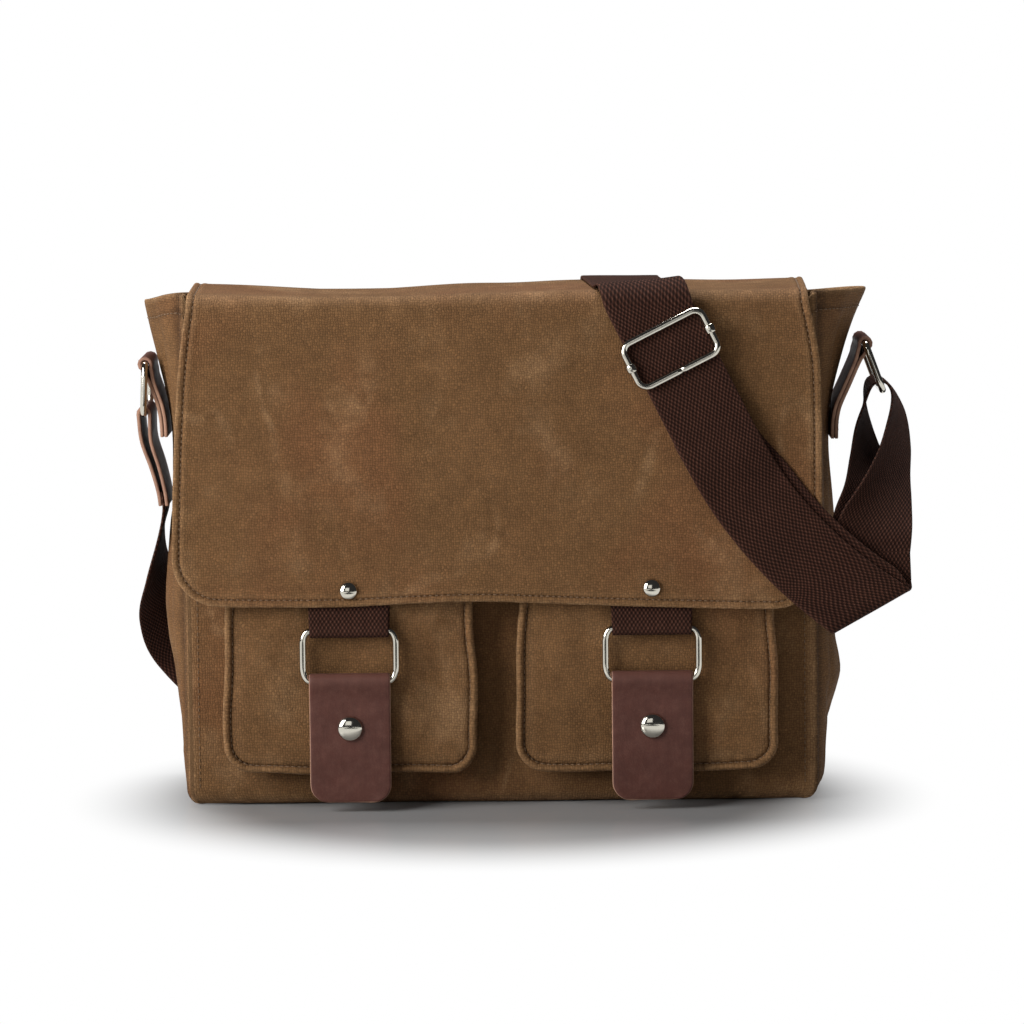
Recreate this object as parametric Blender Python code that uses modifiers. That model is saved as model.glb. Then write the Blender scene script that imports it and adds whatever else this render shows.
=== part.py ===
"""Canvas messenger bag: a soft box with a front flap, two front pockets, two
ring-and-leather snap closures and an adjustable webbing shoulder strap.

+Z is up, +X to the right seen from the front, and the front faces -Y.
Origin: centre of the base, on the ground.  Sizes are in millimetres and are
scaled to metres by MM where meshes, curves and locations are made.
"""

import math

import bmesh
import bpy
from mathutils import Vector

MM = 0.001
GAP = 0.3                 # clearance between neighbouring layers

# ---------------------------------------------------------------- main sizes
# Body
HALF_W = 158.0            # side seams, from the centre
HALF_D = 50.0             # outer faces of the front and back panels
FRONT_H = 252.0
BACK_H = 249.5            # back panel, under the flap hinge
GUSSET_H = 254.5
CANVAS_T = 2.0            # body panels, canvas with its backing
OUTER_T, LINING_T = 1.2, 1.0

# Flap: hinge line at the top back edge, a bend, the flat top, a second bend
# and the sloping front
HINGE_Y, HINGE_Z = 51.0, 252.0
BACK_R = 6.0
TOP_Z = HINGE_Z + BACK_R
FRONT_BEND_Y, FRONT_R = -47.0, 8.5
FRONT_TILT = math.radians(7.4)
FLAP_HALF_W = 160.0
FLAP_LEN = 262.6
FLAP_CORNER = 24.0

# Pockets
POCKET_X = {"left": (-138.0, -13.0), "right": (8.0, 137.0)}
POCKET_TOP, POCKET_BOTTOM = 137.0, 18.8
POCKET_Y = -66.0          # outer face of the pocket front
POCKET_T, POCKET_GUSSET_T = 1.5, 1.2
POCKET_CORNER = 14.0

# Closures
CLOSURE_X = {"left": -75.5, "right": 75.0}
SNAP_Z = 42.4
WEB_HALF, WEB_T = 20.0, 1.3
LEATHER_HALF, LEATHER_T = 20.2, 2.0
SIDE_LEATHER_T = 2.2

# Wire rings, measured to the centre line of the wire
RING_W, RING_H, WIRE_R = 46.4, 25.0, 1.7
RING_CORNER = 3.4

# Strap and slider
STRAP_HALF, STRAP_T = 20.0, 1.3


# ------------------------------------------------------- scene and materials
def clear_scene():
    for obj in list(bpy.data.objects):
        bpy.data.objects.remove(obj, do_unlink=True)


def new_collection(name, hidden=False):
    collection = bpy.data.collections.new(name)
    bpy.context.scene.collection.children.link(collection)
    collection.hide_render = hidden
    return collection


def material(name, rgb, roughness, metallic=0.0):
    mat = bpy.data.materials.new(name)
    mat.use_nodes = True
    shader = mat.node_tree.nodes["Principled BSDF"]
    shader.inputs["Base Color"].default_value = (*rgb, 1.0)
    shader.inputs["Roughness"].default_value = roughness
    shader.inputs["Metallic"].default_value = metallic
    mat.diffuse_color = (*rgb, 1.0)
    return mat


clear_scene()
PARTS = new_collection("messenger_bag")
CUTTERS = new_collection("cutters", hidden=True)

CANVAS = material("waxed_canvas", rgb=(0.15, 0.082, 0.034), roughness=0.85)
LINING = material("lining_cotton", rgb=(0.12, 0.085, 0.05), roughness=0.9)
WEBBING = material("webbing", rgb=(0.035, 0.015, 0.012), roughness=0.8)
LEATHER = material("leather", rgb=(0.075, 0.027, 0.02), roughness=0.5)
NICKEL = material("nickel", rgb=(0.75, 0.72, 0.66), roughness=0.18, metallic=1.0)
BOARD = material("board", rgb=(0.05, 0.045, 0.04), roughness=0.8)


# ------------------------------------------------------------ curves in plan
def evenly(start, end, steps):
    return [start + (end - start) * k / steps for k in range(steps + 1)]


def between(low, high, side):
    """From low at side -1 to high at side +1."""
    return low + (high - low) * (side + 1) / 2


def smooth(fraction):
    fraction = min(max(fraction, 0.0), 1.0)
    return fraction * fraction * (3 - 2 * fraction)


def spline(knots, x):
    """Catmull-Rom values at x, through knots of (x, value, ...)."""
    last = len(knots) - 1
    i = 0
    while i < last - 1 and x > knots[i + 1][0]:
        i += 1
    before, start = knots[max(i - 1, 0)], knots[i]
    end, after = knots[i + 1], knots[min(i + 2, last)]
    span = end[0] - start[0]
    part = (x - start[0]) / span
    values = []
    for c in range(1, len(start)):
        slope_start = (end[c] - before[c]) / (end[0] - before[0]) * span
        slope_end = (after[c] - start[c]) / (after[0] - start[0]) * span
        values.append((2 * part**3 - 3 * part**2 + 1) * start[c]
                      + (part**3 - 2 * part**2 + part) * slope_start
                      + (-2 * part**3 + 3 * part**2) * end[c]
                      + (part**3 - part**2) * slope_end)
    return values


def with_lengths(points):
    """Rows that start with x, y, z, as spline knots by length along them."""
    knots, length = [], 0.0
    for i, point in enumerate(points):
        if i:
            length += math.dist(points[i - 1][:3], point[:3])
        knots.append((length, *point))
    return knots


def arc(centre, radius, degrees):
    """Points round a centre in a plane, at each of the angles."""
    return [(centre[0] + radius * math.cos(math.radians(angle)),
             centre[1] + radius * math.sin(math.radians(angle))) for angle in degrees]


def quarter_arc(centre, radius, start):
    return arc(centre, radius, evenly(start, start + 90, 5))


def rounded_rect(half_w, half_h, radius):
    """Points round a rectangle with rounded corners, anticlockwise."""
    points = []
    for x_sign, y_sign, start in ((1, 1, 0), (-1, 1, 90), (-1, -1, 180), (1, -1, 270)):
        centre = (x_sign * (half_w - radius), y_sign * (half_h - radius))
        points += quarter_arc(centre, radius, start)
    return points


def corner_cut(past, radius):
    """How far a rounded corner draws an edge in, this far past its start."""
    fraction = min(max(past / radius, 0.0), 1.0)
    return radius - radius * math.sqrt(1 - fraction * fraction)


# ------------------------------------------------------------ solid builders
def place(obj, mat, collection=PARTS):
    collection.objects.link(obj)
    if mat is not None:
        obj.data.materials.append(mat)
    return obj


def mesh_object(name, bm, mat):
    mesh = bpy.data.meshes.new(name)
    bm.to_mesh(mesh)
    bm.free()
    return place(bpy.data.objects.new(name, mesh), mat)


def solidify(obj, thickness):
    """Thickness given evenly on both sides."""
    mod = obj.modifiers.new("thickness", "SOLIDIFY")
    mod.thickness = thickness * MM
    mod.offset = 0.0
    mod.use_even_offset = True
    mod.use_quality_normals = True


def sheet(name, stations, columns, point_at, thickness, mat):
    """A sheet with one row of points per station.  point_at(station, side)
    gives a point of its mid surface; side runs from -1 to 1 across the row."""
    rows = len(stations) - 1
    bm = bmesh.new()
    bmesh.ops.create_grid(bm, x_segments=columns, y_segments=rows, size=0.5)
    for vert in bm.verts:
        station = stations[round((vert.co.y + 0.5) * rows)]
        side = min(max(2 * vert.co.x, -1.0), 1.0)
        vert.co = Vector(point_at(station, side)) * MM
    obj = mesh_object(name, bm, mat)
    for face in obj.data.polygons:
        face.use_smooth = True
    solidify(obj, thickness)
    return obj


def box(name, size, low, mat, open_top=False):
    """A box centred on the Z axis, with its underside at height low."""
    bm = bmesh.new()
    bmesh.ops.create_cube(bm, size=1.0)
    if open_top:
        top = [face for face in bm.faces if face.normal.z > 0.9]
        bmesh.ops.delete(bm, geom=top, context="FACES_ONLY")
    bmesh.ops.scale(bm, vec=Vector(size) * MM, verts=bm.verts)
    bmesh.ops.translate(bm, vec=(0, 0, (low + size[2] / 2) * MM), verts=bm.verts)
    return mesh_object(name, bm, mat)


def wire_ring(name, points):
    """A closed round nickel wire through the points."""
    curve = bpy.data.curves.new(name, "CURVE")
    curve.dimensions = "3D"
    curve.bevel_depth = WIRE_R * MM
    curve.bevel_resolution = 2
    curve.use_fill_caps = False
    line = curve.splines.new("POLY")
    line.points.add(len(points) - 1)
    for point, (x, y, z) in zip(line.points, points):
        point.co = (x * MM, y * MM, z * MM, 1.0)
    line.use_cyclic_u = True
    line.use_smooth = True
    place(bpy.data.objects.new(name, curve), NICKEL)


def turned(name, profile, centre, axis, steps, mat=NICKEL, collection=PARTS):
    """A turned solid: profile of (radius, height) spun round +Z with a Screw
    modifier, then laid along axis at centre."""
    mesh = bpy.data.meshes.new(name)
    verts = [(radius * MM, 0.0, height * MM) for radius, height in profile]
    mesh.from_pydata(verts, [(i, i + 1) for i in range(len(verts) - 1)], [])
    obj = place(bpy.data.objects.new(name, mesh), mat, collection)
    mod = obj.modifiers.new("turn", "SCREW")
    mod.steps = mod.render_steps = steps
    mod.use_merge_vertices = True
    mod.merge_threshold = 0.00002
    mod.use_smooth_shade = True
    obj.rotation_mode = "QUATERNION"
    obj.rotation_quaternion = Vector((0, 0, 1)).rotation_difference(Vector(axis))
    obj.location = Vector(centre) * MM
    return obj


def cylinder_profile(radius, half_length):
    return [(0.0, half_length), (radius, half_length),
            (radius, -half_length), (0.0, -half_length)]


def washer_profile(inner_radius, outer_radius, low, high):
    """A washer's closed outline, down its outside first."""
    return [(inner_radius, high), (outer_radius, high), (outer_radius, low),
            (inner_radius, low), (inner_radius, high)]


def rod_between(name, start, end, radius, steps=12, collection=PARTS):
    start, end = Vector(start), Vector(end)
    profile = cylinder_profile(radius, (end - start).length / 2)
    return turned(name, profile, (start + end) / 2, (end - start).normalized(),
                  steps, collection=collection)


def as_helper(obj):
    obj.hide_render = True
    obj.display_type = "WIRE"
    return obj


def hole_cutter(name, centre, axis, radius, half_length):
    return as_helper(turned(name, cylinder_profile(radius, half_length), centre, axis,
                            steps=12, mat=None, collection=CUTTERS))


def combine(obj, other, operation, prefix):
    mod = obj.modifiers.new(prefix + other.name, "BOOLEAN")
    mod.operation = operation
    mod.solver = "EXACT"
    mod.object = other


def cut(obj, cutter):
    combine(obj, cutter, "DIFFERENCE", "hole_")


def join(obj, other):
    combine(obj, other, "UNION", "join_")


# ---------------------------------------------------------------------- body
# (height, half width of the side gussets at mid depth)
GUSSET_BULGE = ((0, 158), (6, 158.6), (25, 161), (50, 164.5), (75, 168.5),
                (100, 170.5), (120, 170.5), (150, 168), (180, 166.5),
                (200, 168), (222, 173.5), (240, 179), (256, 184))
BULGE_POWER = 1.4                              # of the cosine across the depth
INNER_HALF_D = HALF_D - CANVAS_T - 1.4         # gussets and base panel
BASE_HALF_W = HALF_W - CANVAS_T - 0.4
BOARD_W, BOARD_D, BOARD_T = 306, 90, 2.0
BOARD_LOW = CANVAS_T + GAP
LINING_W, LINING_D = 308, 93                   # mid surface of the cotton
LINING_LOW = BOARD_LOW + BOARD_T + GAP + LINING_T / 2
LINING_TOP = 246.0


def gusset_half(z):
    return spline(GUSSET_BULGE, z)[0]


def build_panel(name, y, height):
    sheet(name, evenly(GAP, height, 4), 4, lambda z, side: (side * HALF_W, y, z),
          CANVAS_T, CANVAS)


def build_gusset(name, x_sign):
    def point_at(z, side):
        bulge = (gusset_half(z) - HALF_W) * math.cos(math.pi / 2 * side) ** BULGE_POWER
        return (x_sign * (HALF_W + bulge - CANVAS_T / 2), side * INNER_HALF_D, z)

    sheet(name, evenly(GAP, GUSSET_H, 12), 8, point_at, CANVAS_T, CANVAS)


def build_body():
    panel_y = HALF_D - CANVAS_T / 2
    build_panel("front_panel", -panel_y, FRONT_H)
    build_panel("back_panel", panel_y, BACK_H)
    build_gusset("gusset_left", -1)
    build_gusset("gusset_right", 1)
    box("base_panel", (2 * BASE_HALF_W, 2 * INNER_HALF_D, CANVAS_T), 0.0, CANVAS)
    box("base_board", (BOARD_W, BOARD_D, BOARD_T), BOARD_LOW, BOARD)
    # an open-topped box of cotton inside the body
    lining = box("lining", (LINING_W, LINING_D, LINING_TOP - LINING_LOW), LINING_LOW,
                 LINING, open_top=True)
    solidify(lining, LINING_T)


# ------------------------------------------------------------------- pockets
FORWARD = (0, -1, 0)                           # axis of the snaps
POCKET_GUSSET_INSET = 1.0 + POCKET_T / 2       # from the pocket's edge
STUD_BORE = 1.5
# (radius, height in front of the pocket's outer face)
STUD_PROFILE = [(0, 2.8), (1.6, 2.8), (2.0, 2.3), (1.7, 1.2), (1.9, 0.8),
                (4.6, 0.8), (4.6, 0.3), (1.2, 0.3), (1.2, -2.6), (0, -2.6)]


def build_pocket_front(name, left, right):
    """A flat panel with rounded lower corners."""
    corner_z = POCKET_BOTTOM + POCKET_CORNER
    heights = [corner_z - POCKET_CORNER * math.cos(math.pi / 2 * k / 4) for k in range(5)]
    heights += [60.0, 98.0, POCKET_TOP]

    def point_at(z, side):
        inset = corner_cut(corner_z - z, POCKET_CORNER)
        return (between(left + inset, right - inset, side), POCKET_Y + POCKET_T / 2, z)

    return sheet(name, heights, 4, point_at, POCKET_T, CANVAS)


def build_pocket_gusset(name, left, right):
    """The strip round a pocket's sides and bottom, out from the front panel."""
    inset = POCKET_GUSSET_INSET
    radius = POCKET_CORNER - inset
    corner_z = POCKET_BOTTOM + POCKET_CORNER
    path = [(left + inset, POCKET_TOP)]
    path += quarter_arc((left + POCKET_CORNER, corner_z), radius, 180)
    path += quarter_arc((right - POCKET_CORNER, corner_z), radius, 270)
    path.append((right - inset, POCKET_TOP))
    back_y, front_y = -HALF_D - GAP, POCKET_Y + POCKET_T + GAP
    sheet(name, path, 2,
          lambda point, side: (point[0], between(back_y, front_y, side), point[1]),
          POCKET_GUSSET_T, CANVAS)


def build_pocket(side):
    left, right = POCKET_X[side]
    front = build_pocket_front("pocket_front_" + side, left, right)
    build_pocket_gusset("pocket_gusset_" + side, left, right)

    # snap stud, and the washer that holds it from inside
    stud = (CLOSURE_X[side], POCKET_Y, SNAP_Z)
    cut(front, hole_cutter("stud_hole_" + side, stud, FORWARD, STUD_BORE, 4.0))
    turned("snap_stud_" + side, STUD_PROFILE, stud, FORWARD, steps=12)
    turned("snap_stud_washer_" + side, washer_profile(STUD_BORE, 4.4, -2.3, -1.8),
           stud, FORWARD, steps=12)


# ---------------------------------------------------------------------- flap
# Places on the flap are (x, down, lift): down is the distance along it from
# the hinge line, lift the height above its outer face.
TOP_START = BACK_R * math.pi / 2
TOP_END = TOP_START + (HINGE_Y - BACK_R - FRONT_BEND_Y)
FRONT_BEND = math.pi / 2 - FRONT_TILT
SLOPE_START = TOP_END + FRONT_R * FRONT_BEND
FLAP_NORMAL = (0.0, -math.cos(FRONT_TILT), math.sin(FRONT_TILT))     # of the slope

# mid surfaces of the layers under the outer canvas
FLAP_LINING_LIFT = -(OUTER_T + GAP + LINING_T / 2)
WEB_FRONT_LIFT = FLAP_LINING_LIFT - LINING_T / 2 - GAP - WEB_T / 2
WEB_BACK_LIFT = WEB_FRONT_LIFT - WEB_T - GAP


def on_flap(x, down, lift):
    """The point in space of a place on the flap."""
    if down < TOP_START:
        angle = down / BACK_R
        radius = BACK_R + lift
        return (x, HINGE_Y - BACK_R + radius * math.cos(angle),
                HINGE_Z + radius * math.sin(angle))
    if down < TOP_END:
        return (x, HINGE_Y - BACK_R - (down - TOP_START), TOP_Z + lift)
    angle = min((down - TOP_END) / FRONT_R, FRONT_BEND)
    radius = FRONT_R + lift
    y = FRONT_BEND_Y - radius * math.sin(angle)
    z = TOP_Z - FRONT_R + radius * math.cos(angle)
    rest = max(down - SLOPE_START, 0.0)
    return (x, y - rest * math.sin(FRONT_TILT), z - rest * math.cos(FRONT_TILT))


def build_flap_layer(name, lift, thickness, mat):
    """Straight sides and two rounded lower corners."""
    corner_start = FLAP_LEN - FLAP_CORNER
    stations = [0, TOP_START / 3, 2 * TOP_START / 3, TOP_START,
                TOP_START + 30, TOP_END - 30, TOP_END,
                TOP_END + FRONT_R * FRONT_BEND / 3, TOP_END + 2 * FRONT_R * FRONT_BEND / 3,
                SLOPE_START, SLOPE_START + 45, SLOPE_START + 90, corner_start]
    stations += [corner_start + FLAP_CORNER * math.sin(math.pi / 2 * k / 5)
                 for k in range(1, 6)]

    def point_at(down, side):
        half = FLAP_HALF_W - corner_cut(down - corner_start, FLAP_CORNER)
        return on_flap(side * half, down, lift)

    return sheet(name, stations, 8, point_at, thickness, mat)


def build_flap():
    return [build_flap_layer("flap_outer", -OUTER_T / 2, OUTER_T, CANVAS),
            build_flap_layer("flap_lining", FLAP_LINING_LIFT, LINING_T, LINING)]


# ------------------------------------------------------------------ closures
RING_Y, RING_TOP_Z = -71.9, 91.0               # top bar of the closure rings
RING_LOW_Z = RING_TOP_Z - RING_H
WEB_STATIONS = (246.0, 256.0, 264.0)           # down the flap
RIVET_DOWN = 254.0
RIVET_INNER = WEB_BACK_LIFT - WEB_T / 2        # inner face of the webbing
# (radius, lift above the flap's outer face)
RIVET_PROFILE = [(0, 2.6), (1.6, 2.4), (3.1, 1.8), (4.1, 1.0), (4.5, 0.3), (1.4, 0.3),
                 (1.4, RIVET_INNER - 0.6), (0, RIVET_INNER - 0.6)]

TAB_BACK_Y = POCKET_Y - 3.4 - LEATHER_T / 2    # mid surfaces of the two leaves
TAB_FRONT_Y = TAB_BACK_Y - LEATHER_T - GAP
TAB_BACK_END = SNAP_Z - 9.5
TAB_END, TAB_CORNER = 5.2, 9.0                 # lower end of the front leaf
SHAFT_END = -(2 * LEATHER_T + GAP + 0.1)
# (radius, height in front of the tab's outer face)
CAP_PROFILE = [(0, 3.1), (2.2, 2.9), (4.2, 2.3), (5.6, 1.3), (6.25, 0.3), (1.3, 0.3),
               (1.3, SHAFT_END), (0, SHAFT_END)]


def build_closure_web(name, centre_x):
    """Webbing folded round the ring's top bar, both ends under the flap."""
    path = [on_flap(centre_x, down, WEB_FRONT_LIFT)[1:] for down in WEB_STATIONS]
    path += arc((RING_Y, RING_TOP_Z), WIRE_R + GAP + WEB_T / 2, range(172, 369, 28))
    path += [on_flap(centre_x, down, WEB_BACK_LIFT)[1:] for down in reversed(WEB_STATIONS)]
    return sheet(name, path, 2, lambda point, side: (centre_x + side * WEB_HALF, *point),
                 WEB_T, WEBBING)


def build_flap_rivet(side, pierced):
    """A rivet through flap and webbing, with a burr behind."""
    centre = on_flap(CLOSURE_X[side], RIVET_DOWN, 0.0)
    cutter = hole_cutter("rivet_hole_" + side, centre, FLAP_NORMAL, 1.8, 9.0)
    for obj in pierced:
        cut(obj, cutter)
    turned("flap_rivet_" + side, RIVET_PROFILE, centre, FLAP_NORMAL, steps=16)
    turned("flap_rivet_burr_" + side,
           washer_profile(1.7, 4.0, RIVET_INNER - 0.75, RIVET_INNER - GAP),
           centre, FLAP_NORMAL, steps=12)


def build_closure_tab(name, centre_x):
    """Leather folded over the ring's bottom bar; its front leaf is the longer."""
    corner_z = TAB_END + TAB_CORNER
    path = [(TAB_BACK_Y, z) for z in (TAB_BACK_END, 48.0, 57.0)]
    path += arc((RING_Y, RING_LOW_Z), WIRE_R + GAP + LEATHER_T / 2, range(-8, 189, 28))
    path += [(TAB_FRONT_Y, z) for z in (57.0, 48.0, 30.0, corner_z)]
    path += [(TAB_FRONT_Y, corner_z - TAB_CORNER * math.sin(math.pi / 2 * k / 4))
             for k in range(1, 5)]

    def point_at(point, side):
        half = LEATHER_HALF - corner_cut(corner_z - point[1], TAB_CORNER)
        return (centre_x + side * half, *point)

    return sheet(name, path, 4, point_at, LEATHER_T, LEATHER)


def build_closure(side, flap_layers):
    centre_x = CLOSURE_X[side]
    web = build_closure_web("closure_web_" + side, centre_x)
    build_flap_rivet(side, [*flap_layers, web])

    outline = rounded_rect(RING_W / 2, RING_H / 2, RING_CORNER)
    wire_ring("closure_ring_" + side,
              [(centre_x + across, RING_Y, RING_TOP_Z - RING_H / 2 + up)
               for across, up in outline])

    # the snap holds the tab's two leaves together
    tab = build_closure_tab("closure_tab_" + side, centre_x)
    snap = (centre_x, TAB_FRONT_Y - LEATHER_T / 2, SNAP_Z)
    cut(tab, hole_cutter("snap_hole_" + side, snap, FORWARD, 1.7, 7.0))
    turned("snap_cap_" + side, CAP_PROFILE, snap, FORWARD, steps=20)
    turned("snap_socket_" + side,
           washer_profile(2.4, 5.2, SHAFT_END - 2.2, SHAFT_END - 0.2),
           snap, FORWARD, steps=16)


# --------------------------------------------- side rings and their leathers
# (x, z) of each ring's top and bottom bar, x measured outwards
SIDE_TOP = {"left": (178.5, 221.0), "right": (185.0, 228.0)}
SIDE_LOW = {"left": (179.5, 195.9), "right": (193.65, 204.4)}
SIDE_TAB_FOOT = {"left": 184.0, "right": 180.0}
SIDE_LOOP_R = WIRE_R + GAP + SIDE_LEATHER_T / 2
INNER_LEAF_OFFSET = SIDE_LEATHER_T / 2 + 0.8   # from the gusset's outer face
OUTER_LEAF_OFFSET = INNER_LEAF_OFFSET + SIDE_LEATHER_T + GAP + 0.1


def build_side_leather(name, path):
    """Leather of constant depth along a path of (x, z)."""
    sheet(name, path, 2, lambda point, side: (point[0], side * LEATHER_HALF, point[1]),
          SIDE_LEATHER_T, LEATHER)


def build_side_ring(side, x_sign):
    (top_x, top_z), (low_x, low_z) = SIDE_TOP[side], SIDE_LOW[side]
    height = math.dist(SIDE_TOP[side], SIDE_LOW[side])
    middle_x, middle_z = (top_x + low_x) / 2, (top_z + low_z) / 2
    up_x, up_z = (top_x - low_x) / height, (top_z - low_z) / height
    wire_ring("side_ring_" + side,
              [(x_sign * (middle_x + up * up_x), across, middle_z + up * up_z)
               for across, up in rounded_rect(RING_W / 2, height / 2, RING_CORNER)])


def build_side_tab(side, x_sign):
    """From the gusset up round the ring's top bar and down outside itself."""
    foot = SIDE_TAB_FOOT[side]
    path = [(gusset_half(z) + INNER_LEAF_OFFSET, z) for z in (foot, foot + 8, foot + 16)]
    path += arc(SIDE_TOP[side], SIDE_LOOP_R, range(145, -96, -24))
    path += [(gusset_half(z) + OUTER_LEAF_OFFSET, z - 0.5)
             for z in (foot + 15, foot + 8, foot + 0.5)]
    build_side_leather("side_tab_" + side, [(x_sign * x, z) for x, z in path])


# (x, z) down the two leaves of the leather at the strap's left end
STRAP_END_OUTER = [(-174.9, 149.0), (-175.4, 156.0), (-177.4, 168.0), (-181.2, 182.0)]
STRAP_END_INNER = [(-175.4, 182.0), (-172.6, 168.0), (-171.2, 156.0), (-170.7, 149.0)]


def build_strap_end_leather():
    """Leather looped round the left ring's bottom bar."""
    low_x, low_z = SIDE_LOW["left"]
    loop = arc((-low_x, low_z), SIDE_LOOP_R, range(190, -11, -25))
    build_side_leather("strap_end_leather", STRAP_END_OUTER + loop + STRAP_END_INNER)


# ------------------------------------------------- strap across the back
# centre of the webbing (x, y, z) and the direction to its far edge (x, y, z)
BACK_RUN = with_lengths([
    (-172.9, 0, 147.0, 0, 1, 0), (-175.0, 5, 133, 0, 1, 0.05),
    (-178.0, 22, 112, 0.25, 1, 0.2), (-176.0, 46, 90, 0.75, 0.65, 0.4),
    (-163.0, 62, 66, 0.9, 0.15, 0.48), (-140.0, 63, 45, 0.72, 0.0, 0.7),
    (-105.0, 60, 31, 0.3, 0.0, 0.95), (-65.0, 57, 33, -0.1, 0.0, 1),
    (-25.0, 55, 55, -0.5, 0, 0.85), (8.0, 54, 95, -0.75, 0, 0.62),
    (36.0, 53.4, 143, -0.92, 0, 0.4), (55.0, 53, 195, -0.98, 0, 0.15),
    (62.0, 53, 246, -1, 0, 0.05)])


def build_back_run():
    """From the left ring round the back to the flap's hinge."""
    def point_at(length, side):
        values = spline(BACK_RUN, length)
        edge = Vector(values[3:]).normalized()
        return Vector(values[:3]) + edge * side * STRAP_HALF

    sheet("strap_back_run", evenly(0.0, BACK_RUN[-1][0], 26), 2, point_at,
          STRAP_T, WEBBING)


# ------------------------------------------------- strap over the flap
SLIDER_X, SLIDER_DOWN = 85.3, 135.9            # centre of the slider on the flap
BAR_R = 1.4
BAR_CLEARANCE = 0.2                            # between bar and webbing

# lifts above the flap's outer face
LOW_LIFT = GAP + STRAP_T / 2                   # webbing lying on the flap
OVER_LIFT = LOW_LIFT + STRAP_T + GAP           # webbing on one layer of webbing
BAR_LIFT = GAP + STRAP_T + BAR_CLEARANCE + BAR_R
HIGH_LIFT = 2 * BAR_LIFT + GAP + STRAP_T / 2   # webbing over the bar's loop
FRAME_LIFT = HIGH_LIFT + STRAP_T / 2 + GAP + WIRE_R

# Run is the length along the strap from the slider towards the fold.
# (run, heading in degrees from straight down the flap)
HEADINGS = ((-200.0, 3.0), (-48.0, 3.5), (-28.0, 26.5), (52.0, 26.5),
            (162.0, 56.0), (400.0, 56.0))
CENTRE_STEP = 2
CENTRE_STEPS = 130                             # each way from the slider

# where the strap turns behind itself, in x and down
FOLD_START, FOLD_END = (164.5, 272.8), (200.7, 252.8)
FOLD_LEN = math.dist(FOLD_START, FOLD_END)
FOLD_AWAY = (-(FOLD_END[1] - FOLD_START[1]) / FOLD_LEN,      # from the front run
             (FOLD_END[0] - FOLD_START[0]) / FOLD_LEN)
FOLD_R = 2.2
FOLD_LIFT = LOW_LIFT - FOLD_R                  # axis of the fold
FOLD_ARC = math.pi * (FOLD_R + 0.8)            # length of strap used by the fold

SHEAR = 0.511                                  # of the rows near the fold
SHEAR_RUN = 159.0 + 4.0                        # just past where the fold line is met
SHEAR_FULL, SHEAR_FADE = 12, 30                # distances from there

RISE_START, RISE_LEN = -55, 36                 # runs of the main strap's slopes
DROP_START, DROP_LEN = 56, 30

# rows of the webbing, by run
FOLD_RUNS = [105, 122, 138, 148, 154] + [156 + 2.0 * k for k in range(9)]
MAIN_RUNS = [-135.4, -133, -131, -129, -127, -125, -110, -90, -70, -58, -50, -44, -38,
             -34.5, -31, -27.5, -24, -19, -15.5, -12, 20, 50, 60, 72, 86] + FOLD_RUNS
RETURN_RUNS = [43, 62, 84] + FOLD_RUNS


def heading(run):
    (start, angle), (end, end_angle) = next(
        pair for pair in zip(HEADINGS, HEADINGS[1:]) if run <= pair[1][0])
    return math.radians(angle + (end_angle - angle) * (run - start) / (end - start))


def build_centre_line():
    """x and down of the strap's centre line, by count of steps from the slider."""
    table = {0: (SLIDER_X, SLIDER_DOWN)}
    for sign in (1, -1):
        x, down = SLIDER_X, SLIDER_DOWN
        for k in range(1, CENTRE_STEPS + 1):
            angle = heading(sign * CENTRE_STEP * (k - 0.5))
            x += sign * CENTRE_STEP * math.sin(angle)
            down += sign * CENTRE_STEP * math.cos(angle)
            table[sign * k] = (x, down)
    return table


CENTRE_LINE = build_centre_line()


def strap_flat(run, across):
    """x and down of a point on the strap; across is to the right."""
    k = math.floor(run / CENTRE_STEP)
    part = run / CENTRE_STEP - k
    x, down = CENTRE_LINE[k]
    next_x, next_down = CENTRE_LINE[k + 1]
    angle = heading(run)
    return (x + (next_x - x) * part + across * math.cos(angle),
            down + (next_down - down) * part - across * math.sin(angle))


def fold(x, down, lift):
    """Turns what lies beyond the fold line round behind the front run."""
    beyond = (x - FOLD_START[0]) * FOLD_AWAY[0] + (down - FOLD_START[1]) * FOLD_AWAY[1]
    if beyond <= 0:
        return x, down, lift
    radius = lift - FOLD_LIFT
    angle = min(beyond / FOLD_ARC, 1.0) * math.pi
    folded = radius * math.sin(angle) - max(beyond - FOLD_ARC, 0.0)
    shift = folded - beyond
    return (x + shift * FOLD_AWAY[0], down + shift * FOLD_AWAY[1],
            FOLD_LIFT + radius * math.cos(angle))


def sheared(run, across):
    """Rows run square across the strap, and along the fold line at the fold."""
    distance = abs(run - SHEAR_RUN)
    return run + SHEAR * (1 - smooth((distance - SHEAR_FULL) / SHEAR_FADE)) * across


def low_lift(_run):
    return LOW_LIFT


def main_lift(run):
    """On the flap's top, high over the slider's bar, then on the return layer."""
    return (LOW_LIFT + (HIGH_LIFT - LOW_LIFT) * smooth((run - RISE_START) / RISE_LEN)
            + (OVER_LIFT - HIGH_LIFT) * smooth((run - DROP_START) / DROP_LEN))


def build_front_strap(name, runs, lift_at):
    def point_at(run, side):
        across = side * STRAP_HALF
        x, down = strap_flat(sheared(run, across), across)
        return on_flap(*fold(x, down, lift_at(run)))

    sheet(name, runs, 2, point_at, STRAP_T, WEBBING)


# -------------------------------------------------------------------- slider
SLIDER_ANGLE = math.radians(26.5)              # strap's heading at the slider
SLIDER_W, SLIDER_H, SLIDER_CORNER = 43.6, 23.8, 5.0      # centre line of the frame
EYE_R, EYE_BORE, EYE_LEN = 2.62, WIRE_R + 0.18, 4.0
POST_R = 1.15

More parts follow.
